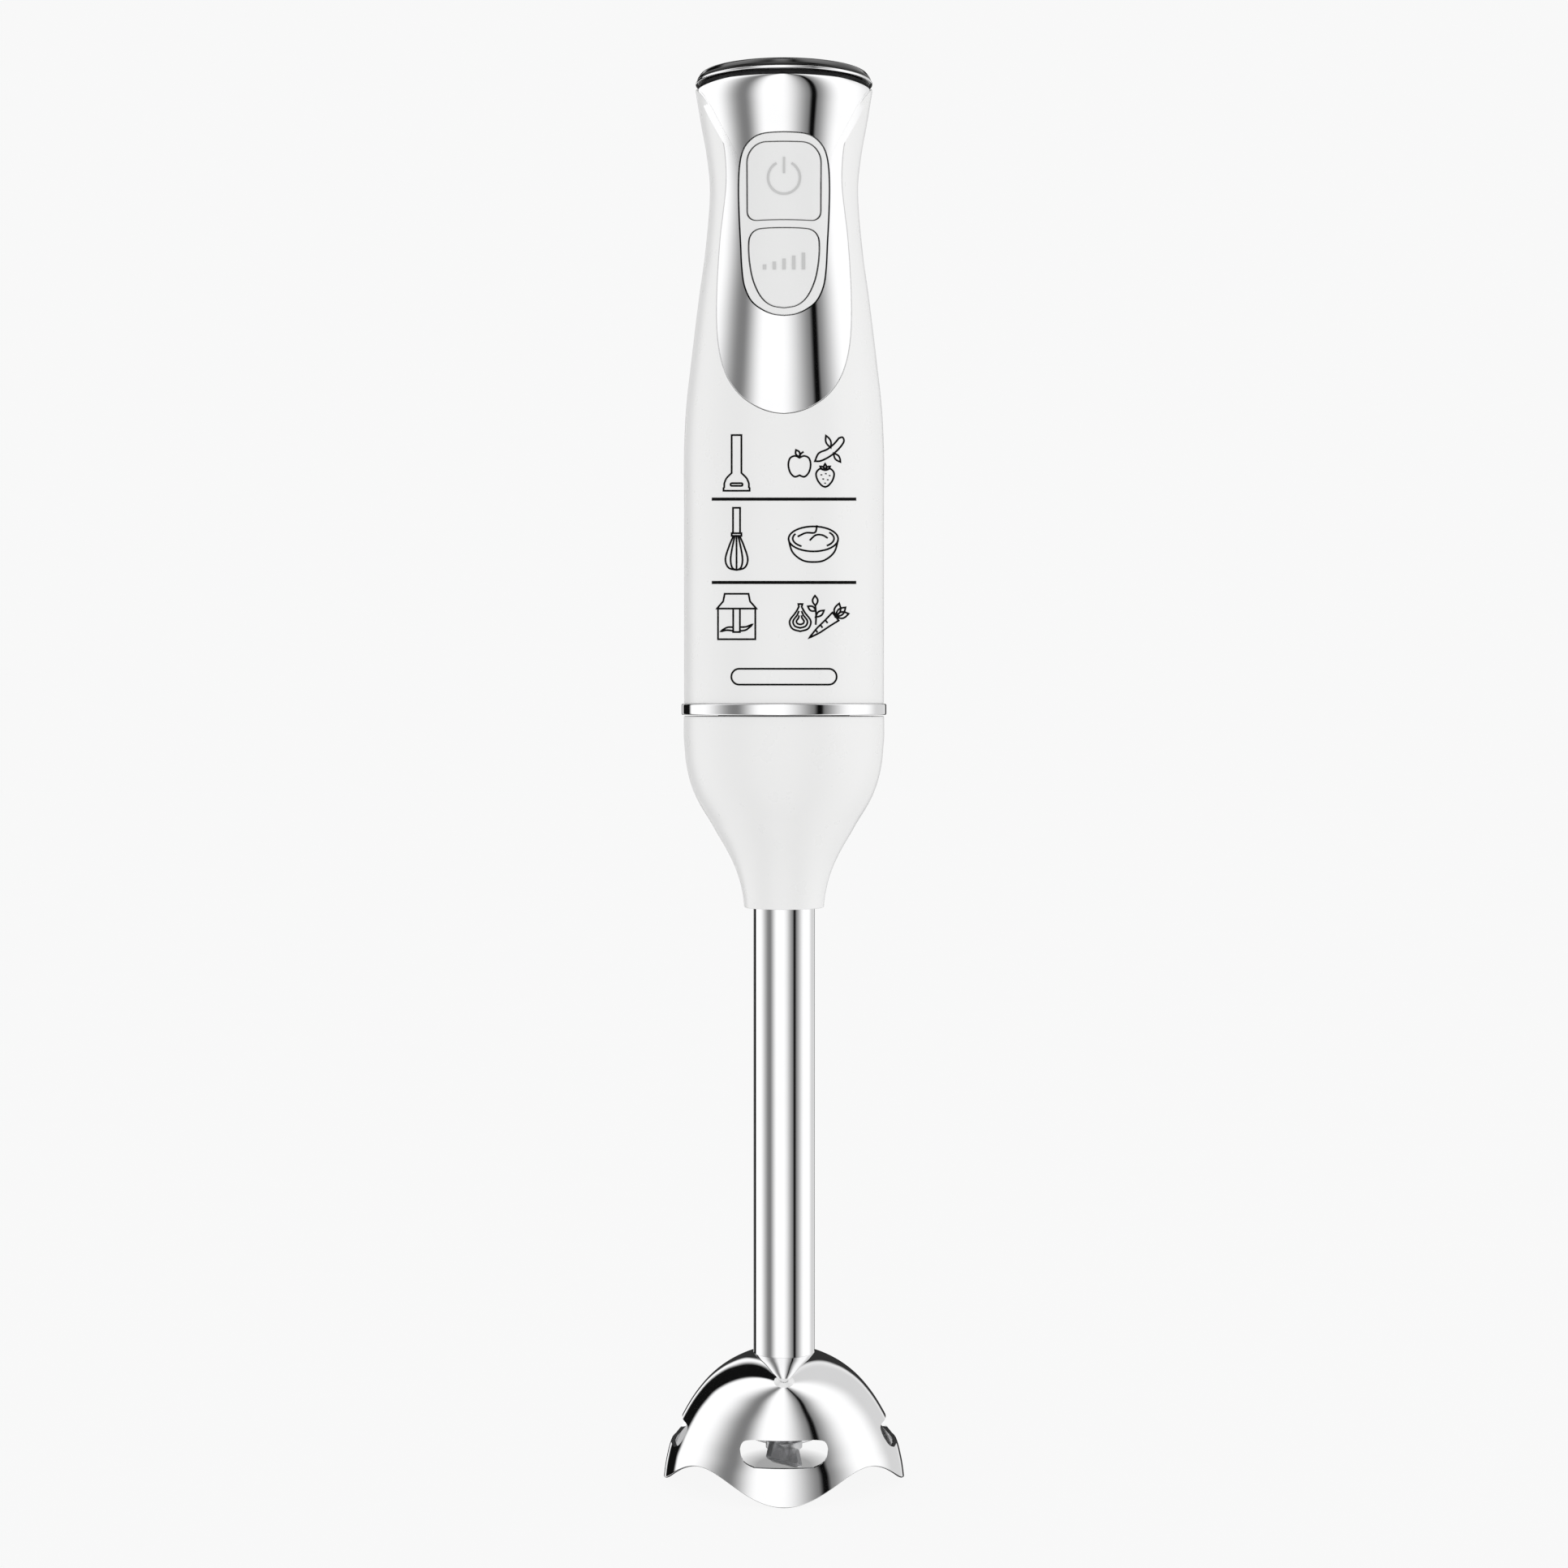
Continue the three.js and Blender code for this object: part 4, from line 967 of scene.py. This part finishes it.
# ------------------------------------------------------------------ pictograms
LEFT = -12.6  # the left column of pictograms
LINE, RULE = 0.24, 0.41  # half-widths of drawn lines and rules
INK_BASE, INK_HEIGHT = 0.01, 0.035
RULES = (266.1, 244.1)


def leaf(x, z, length, width, direction):
    """A pointed leaf from a stalk point, towards a direction in degrees."""
    turn = math.radians(direction)
    along = np.array([math.cos(turn), math.sin(turn)])
    across = np.array([-along[1], along[0]])
    shares = np.linspace(0, 1, 9)[:, None]
    rib = np.array([x, z]) + along * shares * length
    swell = across * np.sin(shares * math.pi) * width / 2
    return np.vstack([rib + swell, (rib - swell)[::-1][1:]])


def both_sides(half, count, x=0.0):
    """A closed curve from its right half, drawn about x, from top to bottom."""
    side = spline(half, count)
    return np.vstack([side, (side * [-1, 1])[::-1]]) + [x, 0]


def beside(x, *points):
    """Points whose first number is counted from x."""
    return [(x + dx, z) for dx, z in points]


def foot_mark():
    flare = [(3.3, 270.2), (2.7, 271.6), (1.3, 273)]
    right = [(3.5, 268.3), (3.5, 269), (3.3, 269.2), *spline(flare, 8), (1.3, 283)]
    left = [(-dx, z) for dx, z in right]
    outline = beside(LEFT, *left, *right[::-1], left[0])
    corners = beside(LEFT, (1.6, 270.3), (-1.6, 270.3), (-1.6, 269.6), (1.6, 269.6))
    slot = filleted([(*corner, 0.3) for corner in corners], 3)
    return [outline, np.vstack([slot, slot[:1]])]


def fruit_mark():
    x = 4.1
    apple = [
        (0, 277.0), (1.2, 277.5), (2.5, 276.9), (2.95, 275.2), (2.5, 273.2), (1.3, 272.0), (0, 272.4),
    ]
    stem = beside(x, (0, 277.1), (0.3, 278.0), (1.1, 278.6))
    strokes = [both_sides(apple, 24, x), spline(stem, 6), leaf(x, 277.3, 2.0, 1.1, 118)]
    upper = [(8.2, 276.1), (9.2, 278.2), (11.4, 279.2), (13.2, 280.6), (14.6, 282.2)]
    lower = [
        (14.6, 282.2), (15.6, 282.4), (15.9, 281.2), (14.4, 279.2), (12.2, 277.4), (9.8, 276.2),
        (8.2, 276.1),
    ]
    strokes += [np.vstack([spline(upper, 20), spline(lower, 24)[1:]])]
    strokes += [leaf(12.4, 279.7, 3.4, 1.3, 112), leaf(13.2, 278.2, 2.9, 1.2, -52)]
    x, z = 10.9, 271.9
    berry = [(0, 1.9), (1.4, 2.2), (2.4, 1.0), (2.0, -0.8), (0.9, -2.2), (0, -2.6)]
    strokes += [both_sides([(dx, z + dz) for dx, dz in berry], 20, x)]
    strokes += [leaf(x, z + 1.9, 1.6, 0.7, angle) for angle in (35, 90, 145)]
    for dx, dz in ((-1.0, 0.6), (0.2, 0.9), (1.2, 0.4), (-0.5, -0.5), (0.7, -0.7), (0, -1.6)):
        strokes.append([(x + dx, z + dz + step) for step in (0.16, 0, -0.16)])
    return strokes


def whisk_mark():
    x, collar, wires_end = LEFT, 256.4, 247.4
    grip = beside(x, (-0.95, 257.1), (-0.95, 263.8), (0.95, 263.8), (0.95, 257.1))
    band = beside(x, (-1.3, collar), (-1.3, 257.1), (1.3, 257.1), (1.3, collar), (-1.3, collar))
    strokes = [grip, band, beside(x, (0, collar), (0, 252), (0, 247.5))]
    for width in (3.0, 1.6):
        loop = [
            (width * 0.28, collar), (width * 0.7, 253.4), (width, 250.2), (width * 0.72, 248.0),
            (0, wires_end),
        ]
        strokes.append(both_sides(loop, 18, x))
    return strokes


def bowl_mark():
    x, z = 7.8, 255.6
    strokes = [arc(x, z, 6.6, 3.3, 0, 360, 40)]
    strokes += [arc(x, z + 0.1, 5.5, 2.5, start, stop, 12) for start, stop in ((150, 235), (-50, 40))]
    left = [(-6.6, 0), (-5.6, -3.4), (-3, -5.6)]
    right = [(-dx, dz) for dx, dz in left[::-1]]
    for curve, count in (
        ([*left, (0, -6.1), *right], 30),
        ([(-4.2, 0.6), (-2.0, 1.6), (0.4, 1.7), (0.9, 3.6)], 16),
        ([(-1.0, -0.4), (0.6, 1.0), (2.4, 1.0), (3.8, 0.2)], 14),
    ):
        strokes.append(spline([(x + dx, z + dz) for dx, dz in curve], count))
    return strokes


def jar_mark():
    x, brim, foot = LEFT, 237.2, 229.1
    half_lid = [(5.3, brim), (3.6, 239.1), (3.2, 241.1)]
    lid = [(-dx, z) for dx, z in half_lid] + half_lid[::-1] + [(-5.3, brim)]
    jar = [(-5, brim), (-5, foot), (5, foot), (5, brim)]
    post = [(-0.9, brim), (-0.9, 231), (0.9, 231), (0.9, brim)]
    left = [(-0.9, 232.3), (-2.6, 232.2), (-4.2, 231.2), (-2.6, 231.5), (-0.9, 231.3)]
    right = [(0.9, 231.3), (2.6, 231.6), (4.2, 233.0), (2.6, 232.4), (0.9, 232.3)]
    straight = [beside(x, *points) for points in (lid, jar, post)]
    return straight + [spline(beside(x, *points), 14) for points in (left, right)]


def vegetable_mark():
    x, z = 4.3, 234.0
    strokes = []
    for size in (2.8, 1.9, 1.0):
        layer = [
            (0.35, z + 0.2 + 1.25 * size), (0.45 * size, z + 0.75 * size), (size, z - 0.1),
            (0.75 * size, z - 0.75 * size), (0, z - size),
        ]
        strokes.append(both_sides(layer, 18, x))
    strokes.append(beside(x, (-0.35, 237.6), (-0.5, 238.4), (0.6, 238.4), (0.35, 237.6)))
    x = 8.4
    strokes.append(spline(beside(x, (0, 232.9), (0.1, 235.5), (-0.1, 238.2)), 8))
    strokes += [leaf(x - 0.1, 238.0, 2.6, 1.4, 92), leaf(x, 236.6, 2.4, 1.2, 150)]
    strokes += [leaf(x, 235.0, 2.8, 1.2, 38)]
    tip, shoulder = np.array([6.6, 229.4]), np.array([13.7, 235.1])
    length = np.linalg.norm(shoulder - tip)
    along = (shoulder - tip) / length
    across = np.array([-along[1], along[0]])
    edge = [(0, 0), (0.35, 0.7), (0.7, 1.0), (1, 1.35), (1, -1.35), (0.7, -1.0), (0.35, -0.7), (0, 0)]
    strokes.append(np.array([tip + along * s * length + across * w for s, w in edge]))
    for s in (0.3, 0.5, 0.7):
        start = tip + along * s * length + across * (0.35 + 0.6 * s)
        strokes.append(np.array([start, start - across * 0.4, start - across * 0.8]))
    strokes += [leaf(*shoulder, 3.6, 1.7, angle) for angle in (12, 42, 74)]
    return strokes


def pictograms():
    """The printed drawings, an empty pill under them, and two rules between their rows."""
    pill = filleted([(14, 221.3, 2.1), (-14, 221.3, 2.1), (-14, 217.1, 2.1), (14, 217.1, 2.1)], 8)
    drawings = {
        "print_foot": foot_mark(), "print_fruit": fruit_mark(), "print_whisk": whisk_mark(),
        "print_bowl": bowl_mark(), "print_jar": jar_mark(), "print_vegetables": vegetable_mark(),
        "print_badge": [np.vstack([pill, pill[:1]])],
    }
    widths = dict.fromkeys(drawings, LINE)
    for k, height in enumerate(RULES):
        name = f"print_rule_{k + 1}"
        drawings[name] = [np.stack([np.linspace(-19.3, 19.3, 41), np.full(41, height)], 1)]
        widths[name] = RULE
    for name, strokes in drawings.items():
        piece = ribbons(name, strokes, widths[name], INK_BASE, INK_HEIGHT)
        place(piece, "handle", "dark_plastic", INK)


# ------------------------------------------------------------------ foot
FUNNEL_OUTLINE = [
    (10.9, 156.3), (11.05, 158), (11.3, 159.8), (12.0, 163.1), (13.05, 166.4), (14.5, 169.8),
    (16.25, 173.1), (18.2, 176.4), (20.15, 179.8), (22.2, 183.1), (24.0, 186.4), (25.35, 189.8),
    (26.25, 193.1), (26.85, 196.4), (27.15, 199.8), (27.4, 203), (27.4, 205.5),
]


def funnel():
    low, high = span("foot_housing")
    wall, bore = 1.5, 8.75
    outside = list(spline(FUNNEL_OUTLINE, 96))[1:]
    lip = arc(27.0, high - 0.4, 0.4, 0.4, 0, 90, 4)
    inside = [(r - wall, z) for r, z in outside[::-4] if z > 170]
    foot, mouth = (10.65, low), (27.4 - wall, high)
    strokes = [
        [foot, (10.87, low + 0.12), *outside, *lip],
        [tuple(lip[-1]), mouth],
        [mouth, *inside, (bore + 2.5, 166), (bore, 163)],
        [(bore, 163), (bore, low)],
        [(bore, low), foot],
    ]
    place(turned("funnel", strokes), "foot_shell", "white_plastic", WHITE, "foot_housing")


def tube():
    low, high = span("foot_tube")
    pipe = washer("drive_tube", (7.4, 8.4), (low - 0.35, high), (0.2, 0.08, 0.3, 0.2), ROUND_MIDDLE)
    place(pipe, "foot_shell", "chrome", CHROME, "foot_tube")


BELL_OUTLINE = [
    (33, 0), (32.6, 3.1), (32.1, 5.8), (31.35, 8.8), (30.2, 11.7), (28.7, 15.1), (26.9, 18.5),
    (25.0, 21.6), (23.0, 24.3), (20.9, 26.7), (18.6, 28.8), (16.0, 30.7), (13.4, 32.2),
    (10.8, 33.4), (8.3, 34.25),
]
BELL_WALL = 1.1
LOBES, LOBE_RISE = 4, 4.0  # lobes of the rim, and half the height of the arches between them


class Profile:
    """A bell surface: a curve turned about Z, followed by its length from the rim."""

    def __init__(self, outline):
        self.curve = spline(outline, 280)
        steps = np.linalg.norm(np.diff(self.curve, axis=0), axis=1)
        self.along = np.concatenate([[0], np.cumsum(steps)])

    def at(self, distance):
        return np.stack([np.interp(distance, self.along, self.curve[:, k]) for k in (0, 1)], -1)

    def distance_at_height(self, z):
        return np.interp(z, self.curve[:, 1], self.along)

    def look(self, points):
        """The nearest point of the turned surface, and its outward normal."""
        radius = np.hypot(points[:, 0], points[:, 1])
        flat = np.stack([radius, points[:, 2]], 1)
        gaps = ((flat[:, None, :] - self.curve[None, ::2, :]) ** 2).sum(2)
        distance = self.along[::2][gaps.argmin(1)]
        for _ in range(3):
            ahead = unit(self.at(distance + 0.4) - self.at(distance - 0.4), 1e-9)
            distance = distance + ((flat - self.at(distance)) * ahead).sum(1)
        nearest = self.at(distance)
        spoke = points[:, :2] / np.maximum(radius, 1e-6)[:, None]
        normal = np.column_stack([spoke * ahead[:, 1:2], -ahead[:, 0]])
        return np.column_stack([spoke * nearest[:, :1], nearest[:, 1]]), normal


OUTSIDE = Profile(BELL_OUTLINE)


def inner_outline():
    """The bell's outline moved inwards by its wall, ending at the hub."""
    curve = OUTSIDE.curve[::14]
    ahead = unit(np.gradient(curve, axis=0))
    return curve + BELL_WALL * np.stack([-ahead[:, 1], ahead[:, 0]], 1)


INSIDE = Profile(inner_outline())


def bell():
    """A dome with a scalloped, rounded rim, four windows, a hub for the bush and a spigot."""
    sides, rows = 240, 64
    angles = np.arange(sides) * 2 * math.pi / sides
    rim = LOBE_RISE * (1 - np.cos(LOBES * angles))
    spokes = np.stack([np.cos(angles), np.sin(angles)], 1)

    def ring(surface, share, lift):
        start = surface.distance_at_height(rim + lift)
        flat = surface.at(start + (surface.along[-1] - start) * share)
        return np.column_stack([spokes * flat[:, :1], flat[:, 1]])

    edge = 0.3
    rings = [ring(INSIDE, share, edge) for share in np.linspace(1, 0, rows)]
    low_in, low_out = rings[-1], ring(OUTSIDE, 0, edge)
    for share in (0.12, 0.5, 0.88):  # across the rim's rounded edge
        middle = low_in + (low_out - low_in) * share
        middle[:, 2] = rim + (0.12 if share != 0.5 else 0.0)
        rings.append(middle)
    rings += [ring(OUTSIDE, share, edge) for share in np.linspace(0, 1, rows)]
    hub_low, hub_radius, bore, spigot_top, spigot = 17.0, 8.0, 5.8, 42.0, 7.1
    flat_rings = [
        (spigot, rings[-1][0, 2]), (spigot, spigot_top), (bore, spigot_top), (bore, hub_low),
        (hub_radius - 0.4, hub_low), (hub_radius, hub_low + 0.4), (hub_radius, rings[0][0, 2] - 0.2),
    ]
    rings += [np.column_stack([spokes * radius, np.full(sides, z)]) for radius, z in flat_rings]
    points, faces = bridge(rings, closed=True)
    dome = outwards(mesh_object("bell_dome", points, faces))
    reach = 7.9
    end = spline(beside(-reach, (0, 16.6), (-2.9, 16.0), (-3.8, 13.7), (-2.7, 11.1), (0, 9.9)), 16)
    window = np.vstack([end, (end * [-1, 1])[::-1]])
    along_y = prism(window, -40, 40)
    along_x = prism(window, -40, 40)
    along_x.data.transform(Matrix.Rotation(math.radians(90), 4, "Z"))
    cut(dome, along_y, along_x)
    smooth(dome, [OUTSIDE.look, INSIDE.look], sharp=40)
    place(dome, "foot_shell", "chrome", CHROME, "bell")
    dome.data.materials.append(BELL_INSIDE)
    near, hub_top = 0.12, 31.5
    for face in dome.data.polygons:
        centre = np.array(face.center)[None] / MM
        nearest, _ = INSIDE.look(centre)
        inside = np.linalg.norm(nearest - centre) < near
        hub = np.hypot(*centre[0, :2]) < hub_radius + 0.5 and centre[0, 2] < hub_top
        face.material_index = int(inside or hub)


def blade():
    """Two pitched wings with ground edges on one hub."""
    low, high = span("blade")
    hub_low, bore, thick, grind, pitch = low + 0.6, 2.55, 0.55, 1.3, 14
    corners = [(-4.2, -2, 0), (-5, -18, 0.8), (-4.6, -21, 2.4)]
    corners += [(-x, y, fillet) for x, y, fillet in corners[::-1]]
    outline = filleted(corners, 5)
    inset = middle_scaled(outline, grind)
    levels = ((inset, -thick), (outline, -0.1), (outline, 0.1), (inset, thick))
    rings = [np.column_stack([flat, np.full(len(flat), z)]) for flat, z in levels]
    centre = outline.mean(0)
    points, faces = bridge(rings, (*centre, -thick), (*centre, thick))
    wings = []
    for turn in (0, 180):
        wing = outwards(mesh_object("wing", points, faces))
        wing.data.transform(pitch_and_place(pitch, turn, (0, 0, hub_low + 1.0)))
        wings.append(wing)
    hub = washer("hub", (bore, 5), (hub_low, hub_low + 2.2), (0.15, 0.3, 0.3, 0.15))
    whole = cut(hub, *wings, operation="UNION")
    whole = cut(whole, rod("bore", bore, (low - 5, high + 5)))
    whole.name = "chopping_blade"
    smooth(whole, sharp=14)
    place(whole, "blade_drive", "blade_steel", BLADE_STEEL, "blade")


def middle_scaled(outline, inset):
    """The outline drawn in towards the wing's middle line by about inset."""
    made = outline.copy()
    made[:, 0] -= np.sign(made[:, 0]) * np.minimum(np.abs(made[:, 0]) * 0.9, inset)
    made[:, 1] = np.maximum(made[:, 1], outline[:, 1].min() + inset * 0.6)
    return made


def pitch_and_place(pitch, turn, shift):
    tilt = Matrix.Rotation(math.radians(pitch), 4, "Y")
    spin = Matrix.Rotation(math.radians(turn), 4, "Z")
    return Matrix.Translation(Vector(shift) * MM) @ spin @ tilt


def nut_and_shaft():
    low, high = span("blade_nut")
    angles = np.arange(6) * math.pi / 3
    hexagon = filleted([(4 * math.cos(a), 4 * math.sin(a), 0.3) for a in angles], 3)
    nut = extruded("nut", resampled(hexagon, 90), low + 0.9, high, 0.2)
    dome = rod("dome", 3.3, (low, low + 1.6), (0.8, 0.5), foot=1.6)
    nut = cut(nut, dome, operation="UNION")
    nut.name = "dome_nut"
    smooth(nut, sharp=35)
    place(nut, "blade_drive", "steel", STEEL, "blade_nut")
    spindle = rod("spindle", 2.5, span("blade_shaft"), (0.4, 0.4))
    place(spindle, "blade_drive", "steel", STEEL, "blade_shaft")


# ------------------------------------------------------------------ coupling
TWIST = 25  # degrees from the mouth of a slot to its end
SHAFT_BORE = 2.6


def sector(inner, outer, bottom, top, start, stop, steps=14):
    angles = np.radians(np.linspace(start, stop, steps + 1))
    rim = np.stack([np.cos(angles), np.sin(angles)], 1)
    return extruded("sector", np.vstack([rim * outer, rim[::-1] * inner]), bottom, top)


def coupling_nose():
    """The plate and nose under the motor, with its lugs and the groove for its seal."""
    low, high = span("coupling_nose")
    plate, outer, inner = 212.4, 18.0, 15.0
    groove_low, groove_high, groove = 203.6, 206.0, 16.9
    lug_radius, lug_heights, lug_half = 19.5, (197, 200), 9
    rim, shaft_hole = 24.3, 6.7
    corners = [
        (inner, low, 0.5), (outer, low, 0.5), (outer, groove_low, 0.1), (groove, groove_low, 0.1),
        (groove, groove_high, 0.1), (outer, groove_high, 0.1), (outer, plate, 0.3),
        (rim, plate, 0.3), (rim, high, 0.3), (shaft_hole, high, 0.3), (shaft_hole, plate, 0.3),
        (inner, plate, 0.8),
    ]
    nose = lathe("coupling_spigot", corners, ROUND_MIDDLE)
    for angle in LUG_ANGLES:
        lug = sector(outer - 0.6, lug_radius, *lug_heights, angle - lug_half, angle + lug_half)
        nose = cut(nose, lug, operation="UNION")
    smooth(nose, sharp=35)
    place(nose, "handle", "dark_plastic", DARK, "coupling_nose")
    seal = arc(17.7, (groove_low + groove_high) / 2, 0.55, 0.85, -180, 180, 20)
    place(turned("nose_ring", [list(seal)], ROUND_MIDDLE), "handle", "rubber", RUBBER, "nose_seal")


def foot_socket():
    """The sleeve that takes the nose, with a slot for each lug, over a hub for tube and bush."""
    low, high = span("foot_socket")
    floor, floor_top, bore, outer = 188, 191, 18.4, 22.0
    hub_bore, hub = 5.3, 7.1
    corners = [
        (hub_bore, low, 0.3), (hub, low, 0.3), (hub, floor, 0.3), (outer, floor, 0.6),
        (outer, high, 0.3), (bore, high, 0.6), (bore, floor_top, 0.8), (hub_bore, floor_top, 0.3),
    ]
    sleeve = lathe("bayonet_sleeve", corners, ROUND_MIDDLE)
    slot_half, bottom, lock_top, depth = 10.2, 196.5, 200.5, 20.0
    for angle in LUG_ANGLES:
        mouth = sector(bore - 1, depth, bottom, high + 1, angle - slot_half, angle + slot_half)
        end = angle - slot_half - TWIST
        lock = sector(bore - 1.2, depth - 0.02, bottom + 0.01, lock_top, end, angle)
        sleeve = cut(sleeve, mouth, lock)
    smooth(sleeve, sharp=35)
    place(sleeve, "foot_shell", "dark_plastic", DARK, "foot_socket")


def lobe_outline(half, length, fillet):
    """A cross with four arms."""
    corners = []
    for k in range(4):
        cosine, sine = math.cos(k * math.pi / 2), math.sin(k * math.pi / 2)
        for x, y in ((length, -half), (length, half), (half, half)):
            corners.append((x * cosine - y * sine, x * sine + y * cosine, fillet))
    return filleted(corners, 3)


def dogs():
    """The four-lobed clutch between motor and blade shaft."""
    low, high = span("drive_dog")
    male = extruded("male", lobe_outline(1.7, 6, 0.45), low, 208.2, 0.25)
    boss = washer("boss", (SHAFT_BORE, 5), (207, high), (0, 0, 0.4, 0.2))
    male = cut(male, boss, operation="UNION")
    male = cut(male, rod("hole", SHAFT_BORE, (206, high + 1)))
    male.name = "drive_lobes"
    smooth(male, sharp=35)
    place(male, "rotor", "dark_plastic", DARK, "drive_dog")
    low, high = span("driven_dog")
    cup = rod("clutch_cup", 9, (low, high), (0.5, 0.6))
    female = extruded("female", lobe_outline(2.1, 6.5, 0.4), 195.5, high + 1)
    cup = cut(cup, female, rod("hole", SHAFT_BORE, (low - 1, 194.5)))
    smooth(cup, sharp=35)
    place(cup, "blade_drive", "dark_plastic", DARK, "driven_dog")


def bushes():
    """The foot's two bushes, and the lip seal between them and the food."""
    bore = SHAFT_BORE + 0.02
    for name, node, outer, slot, look in (
        ("bush_upper", "upper_bush", 5.0, "bronze", BRONZE),
        ("bush_lower", "lower_bush", 5.5, "bronze", BRONZE),
        ("lip_seal", "shaft_seal", 5.6, "rubber", RUBBER),
    ):
        ring = washer(name, (bore, outer), span(node), (0.3, 0.3, 0.2, 0.3))
        place(ring, "foot_bushes", slot, look, node)


# ------------------------------------------------------------------ studio
# Dark flags and grey flats in the reflected studio, by their direction round the object in
# degrees from the front towards +X: middle, half-width, fade below, fade above, depth.
STUDIO_FLAGS = {
    "grey flat on the left": (-56, 1, 46, 30, 0.80),
    "soft fall to the right": (40, 0, 44, 42, 0.85),
    "black flag on the right": (40.5, 1.5, 6, 5, 0.98),
    "black flag behind on the left": (-144, 10, 7, 7, 0.995),
    "black edge behind on the left": (-175, 9, 4, 4, 0.97),
    "grey flat behind on the right": (140, 10, 26, 16, 0.36),
    "black gap straight behind": (173, 11, 5, 4, 0.97),
}
BACKGROUND = 0.94
PAINTED_SHADE, PAINTED_SHADE_OVAL = 0.4, (10, 15, 21)  # the floor's painted shadow under the bell: its tone, and the oval's shape
GLOW = 1.07  # the studio's white walls, as seen in the chrome


def studio_world():
    """A pale room: plain to the camera and to diffuse light, flagged in mirror reflections."""
    world = bpy.data.worlds.new("studio")
    bpy.context.scene.world = world
    world.use_nodes = True
    tree = world.node_tree
    tree.nodes.clear()

    def calculate(operation, *values):
        return add_node(tree, "ShaderNodeMath", dict(enumerate(values)), operation=operation).outputs[0]

    def faded(away, fade, depth):
        """1 - depth up to 0, and 1 from the fade's end on."""
        inputs = {"Value": away, "From Min": 0.0, "From Max": math.radians(fade)}
        inputs |= {"To Min": 1 - depth, "To Max": 1.0}
        return add_node(tree, "ShaderNodeMapRange", inputs, interpolation_type="SMOOTHSTEP").outputs[0]

    coordinates = add_node(tree, "ShaderNodeTexCoord")
    split = add_node(tree, "ShaderNodeSeparateXYZ", {0: coordinates.outputs["Generated"]})
    towards_front = calculate("MULTIPLY", split.outputs["Y"], -1.0)
    direction = calculate("ARCTAN2", split.outputs["X"], towards_front)
    light = GLOW
    for middle, half, fade_below, fade_above, depth in STUDIO_FLAGS.values():
        below = calculate("SUBTRACT", math.radians(middle - half), direction)
        above = calculate("SUBTRACT", direction, math.radians(middle + half))
        edges = faded(below, fade_below, depth), faded(above, fade_above, depth)
        light = calculate("MULTIPLY", light, calculate("MAXIMUM", *edges))
    path = add_node(tree, "ShaderNodeLightPath")
    inputs = {"Factor": path.outputs["Is Glossy Ray"], "A": BACKGROUND, "B": light}
    mix = add_node(tree, "ShaderNodeMix", inputs, data_type="FLOAT")
    background = add_node(tree, "ShaderNodeBackground", {"Color": mix.outputs["Result"]})
    add_node(tree, "ShaderNodeOutputWorld", {"Surface": background.outputs[0]})


def soft_lights():
    """Two large soft boxes at the sides, which brighten the white plastic and miss the chrome."""
    for name, x, power in (("soft_box_right", 1.1, 1.6), ("soft_box_left", -1.1, 0.9)):
        data = bpy.data.lights.new(name, "AREA")
        data.shape = "RECTANGLE"
        data.size, data.size_y = 0.5, 1.0
        data.energy = power
        made = bpy.data.objects.new(name, data)
        bpy.context.scene.collection.objects.link(made)
        made.location = (x, -0.45, 0.45)
        aim = Vector((0, 0, 0.22)) - made.location
        made.rotation_euler = aim.to_track_quat("-Z", "Y").to_euler()
        made.visible_glossy = False
        made.visible_camera = False


def floor():
    """A wide pale floor, level with the background in tone, with a shadow painted into its glow under
    the bell.
    """
    half = 6000.0
    corners = [(-half, -half, 0), (half, -half, 0), (half, half, 0), (-half, half, 0)]
    made = mesh_object("floor", corners, [(0, 1, 2, 3)])
    paint = 0.03  # its own colour, which light brings out. The rest of its tone is a glow.
    look = Nodes("floor_paint").set(Roughness=1.0, Specular_IOR_Level=0.0)
    look.set(Emission_Color=(1, 1, 1, 1))
    bright = BACKGROUND * (1 - paint)
    # painted shadow: the floor's glow is darker in an oval under the bell
    painted_shade = look.ramp(look.oval(*PAINTED_SHADE_OVAL), bright * PAINTED_SHADE, bright, 0.5, 1.0)
    look.tree.links.new(painted_shade, look.shader.inputs["Emission Strength"])
    look.colour(look.ramp(look.noise(60, 3), (paint * 0.98,) * 3, (paint * 1.02,) * 3))
    made.data.materials.append(look.material)
    made.visible_glossy = False


def camera():
    """The view from the button side, level with the trim ring. A small tilt and a small shift
    share the step down to the middle."""
    distance, height, lens, sensor = 801.3, 212.7, 67.2, 36.0
    aim, shift = 201.65, -0.027
    data = bpy.data.cameras.new("camera")
    data.lens = lens
    data.sensor_width = sensor
    data.shift_y = shift
    data.clip_start = 0.01
    made = bpy.data.objects.new("camera", data)
    bpy.context.scene.collection.objects.link(made)
    made.location = Vector((0, -distance, height)) * MM
    made.rotation_euler = (math.pi / 2 - math.atan((height - aim) / distance), 0, 0)
    bpy.context.scene.camera = made


bpy.context.scene.view_settings.view_transform = "Standard"
dress_frame()
body_shell()
front_panel()
button_frame()
buttons()
return_spring("power_coil", "power_spring")
return_spring("turbo_coil", "turbo_spring")
cap()
cord_gland()
trim_ring()
pictograms()
funnel()
tube()
bell()
blade()
nut_and_shaft()
coupling_nose()
foot_socket()
dogs()
bushes()
studio_world()
soft_lights()
floor()
camera()
